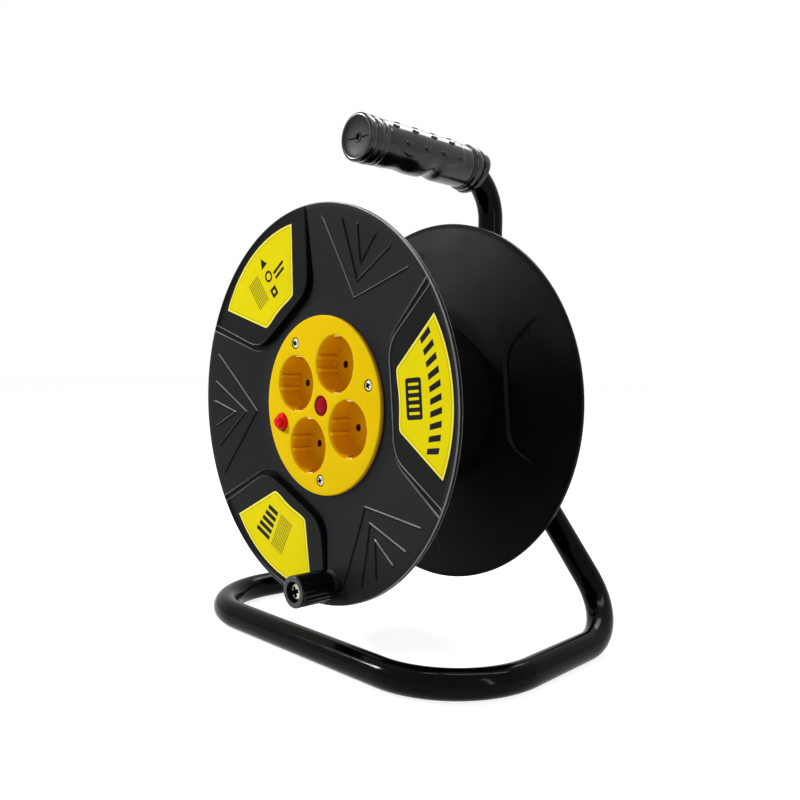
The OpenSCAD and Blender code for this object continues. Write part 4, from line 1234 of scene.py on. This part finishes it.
def grip_at(x, y, s):
    """Point of the grip at a distance from its front face, x to the right and y up."""
    centre, along = HANDLE_FRONT + HANDLE_RUN * min(s, GRIP_STRAIGHT), HANDLE_RUN
    if s > GRIP_STRAIGHT:
        pivot = centre - RIGHT.cross(along) * HANDLE_BEND
        spin = Matrix.Rotation((GRIP_STRAIGHT - s) / HANDLE_BEND, 3, RIGHT)
        centre, along = pivot + spin @ (centre - pivot), spin @ along
    return at_reel(centre + RIGHT * x + RIGHT.cross(along) * y)


def grip():
    shell = Shell()
    steps = 144
    turns = [360 * k / steps for k in range(steps)]
    bore = TUBE_R + 0.1
    inside = ((0.001, GRIP_WALL), (bore, GRIP_WALL), (bore, GRIP_LENGTH / 2), (bore, GRIP_LENGTH - 1.2),
              (bore + 1.2, GRIP_LENGTH - 0.2))
    rows = [[grip_at(*polar(r, a), s) for a in turns] for r, s in inside]
    rows += [[grip_at(*polar(grip_radius(s, a), a), s) for a in turns] for s in reversed(grip_stations())]
    end_rows = len(rows)
    rows += [[grip_at(*polar(r, a), s) for a in turns] for r, s in GRIP_FACE]
    # The front end face is painted lighter grey, for the light on it.
    skin(shell, rows, tint=lambda face: 2 if face[0] // steps >= end_rows else 0)
    for turn, first, pitch, count in NUB_ROWS:
        for k in range(count):
            for at in (turn, 180 - turn):
                nub(shell, first + pitch * k, at)
    slit(shell)
    shell.piece("grip_sleeve", "frame", ("grip_rubber", "deep_shade", "grip_end_painted_light"), "handle_grip")


def nub(shell, s, turn):
    """Small raised diamond on the grip."""
    half_long, half_wide = 3.3, 2.1
    rows = []
    for scale, lift in ((1.15, -0.5), (1.0, 0.25), (0.86, 0.84), (0.62, 1.05)):
        ring = []
        for k in range(24):
            u, v = (copysign(abs(c) ** 1.25, c) * scale for c in polar(1, 15 * k))
            at = turn + degrees(v * half_wide / GRIP_R)
            ring.append(grip_at(*polar(grip_radius(s, turn) + lift, at), s + u * half_long))
        rows.append(ring)
    skin(shell, rows, capped=True)


def slit(shell):
    """Thin dark bar across the grip's end, on both sides of the vent hole: painted shade in place of the
    slit.
    """
    for side in (-1, 1):
        corners = block(side * 3.8, side * 12.6, -0.28, 0.28)
        skin(shell, [[grip_at(x, y, s) for x, y in corners] for s in (1.1, 2.6)], tint=1, capped=True)


# ---- Axle bracket ----

def axle_bracket():
    """Plate with rounded edges, welded to the mast and both legs."""
    shell = Shell()
    wide, low, high = (v - BRACKET_CORNER for v in (BRACKET_HALF_W, BRACKET_DOWN, BRACKET_UP))
    side = degrees(atan2(high + low, wide))
    corners = (((0, high), 90 - side, 90 + side), ((-wide, -low), 90 + side, 270),
               ((wide, -low), 270, 450 - side))

    def outline(inset):
        return [p for at, a, b in corners for p in arc(at, BRACKET_CORNER - inset, a, b, 12)]

    bevel = 0.8
    ends = [(bevel, 0), (0.25, 0.25), (0, bevel)]
    sections = ends + [(inset, BRACKET_T - z) for inset, z in reversed(ends)]
    skin(shell, [[at_drum(x, y, BRACKET_Z + z) for x, y in outline(inset)] for inset, z in sections])
    rim, hole = outline(bevel), circle(ORIGIN, BRACKET_HOLE_R, 48)
    field = triangles([rim, hole], within(rim, [hole]))
    faces = (BRACKET_Z, BRACKET_Z + BRACKET_T)
    for z in faces:
        sheet(shell, at_drum, field, z)
    lathe(shell, at_drum, [(BRACKET_HOLE_R, z) for z in faces], 48)
    seams(shell)
    shell.piece("bracket_plate", "frame", ("gloss_tube",), "axle_bracket")


def seams(shell):
    """Welds between the bracket and the tubes behind it."""
    y = RIM_Y + BRACKET_Z + BRACKET_T + 0.8
    for side in (-1, 1):
        leg = [Vector((side * 8.0, y, LEG_TOP_Z - 2)), Vector((side * 26, y, LEG_TOP_Z - 24))]
        for shift in (-4.0, 4.0):
            across = Vector((side * shift * 0.76, 0, shift * 0.65))
            bead(shell, [p + across for p in leg], SEAM_BEAD)
        bead(shell, [Vector((side * 4.0, y, AXLE_Z + up)) for up in (8, 34)], SEAM_BEAD)


# ---- Stage ----

def seen_ray(tree):
    """1 for camera, glossy and transmission rays."""
    path = tree.nodes.new("ShaderNodeLightPath")
    value = path.outputs["Is Camera Ray"]
    for name in ("Is Glossy Ray", "Is Transmission Ray"):
        value = wire(tree, "Math", {0: value, 1: path.outputs[name]}, operation="MAXIMUM")
    return value


def floor():
    mesh = bpy.data.meshes.new("studio_floor")
    mesh.from_pydata([(x, y, 0) for x, y in block(-6, 6, -6, 6)], [], [[0, 1, 2, 3]])
    obj = new_object("studio_floor", mesh)
    material = bpy.data.materials.new("studio_floor")
    material.use_nodes = True
    tree = material.node_tree
    tree.nodes.clear()
    level = wire(tree, "Math", {0: seen_ray(tree), 1: FLOOR_GLOW}, operation="MULTIPLY")
    glow = wire(tree, "Emission", {"Color": (1, 1, 1, 1), "Strength": level})
    diffuse = wire(tree, "BsdfDiffuse", {"Color": (0.5, 0.5, 0.5, 1)})
    surface = wire(tree, "AddShader", {0: diffuse, 1: glow})
    feed(tree, tree.nodes.new("ShaderNodeOutputMaterial"), {"Surface": surface})
    mesh.materials.append(material)


def world():
    room = bpy.data.worlds.new("studio")
    bpy.context.scene.world = room
    room.use_nodes = True
    tree = room.node_tree
    level = wire(tree, "MapRange", {"Value": seen_ray(tree), "To Min": ROOM_LIGHT, "To Max": 1.0})
    feed(tree, tree.nodes["Background"], {"Color": (1, 1, 1, 1), "Strength": level})


def lights():
    for name, at, size, watts in LAMPS:
        light = bpy.data.lights.new(name, "AREA")
        light.shape = "RECTANGLE"
        light.size, light.size_y = size
        light.energy = watts
        obj = new_object(name, light)
        obj.location = at
        obj.rotation_euler = (Vector(LAMP_TARGET) - Vector(at)).to_track_quat("-Z", "Y").to_euler()


def camera():
    turns = ((CAMERA_YAW, "Z"), (90 - CAMERA_PITCH, "X"), (CAMERA_ROLL, "Z"))
    yaw, pitch, roll = (Matrix.Rotation(radians(angle), 4, axis) for angle, axis in turns)
    data = bpy.data.cameras.new("view")
    data.sensor_width = 36
    data.lens = CAMERA_LENS
    data.shift_x, data.shift_y = CAMERA_SHIFT
    obj = new_object("view", data)
    obj.matrix_world = Matrix.Translation(CAMERA_AT) @ yaw @ pitch @ roll
    bpy.context.scene.camera = obj


camera()
dress_frame()
front_flange()
rear_flange()
label("label_right", WINDOW_TURN, BAND)
label("label_upper", WINDOW_TURN + 120, NOTICE)
label("label_lower", WINDOW_TURN + 240, BARS)
socket_panel()
panel_screws()
rear_screws()
lens()
button()
clips()
knob()
knob_screw()
floor_loop()
handle_tube()
grip()
axle_bracket()
floor()
world()
lights()
bpy.context.scene.view_settings.view_transform = "Standard"
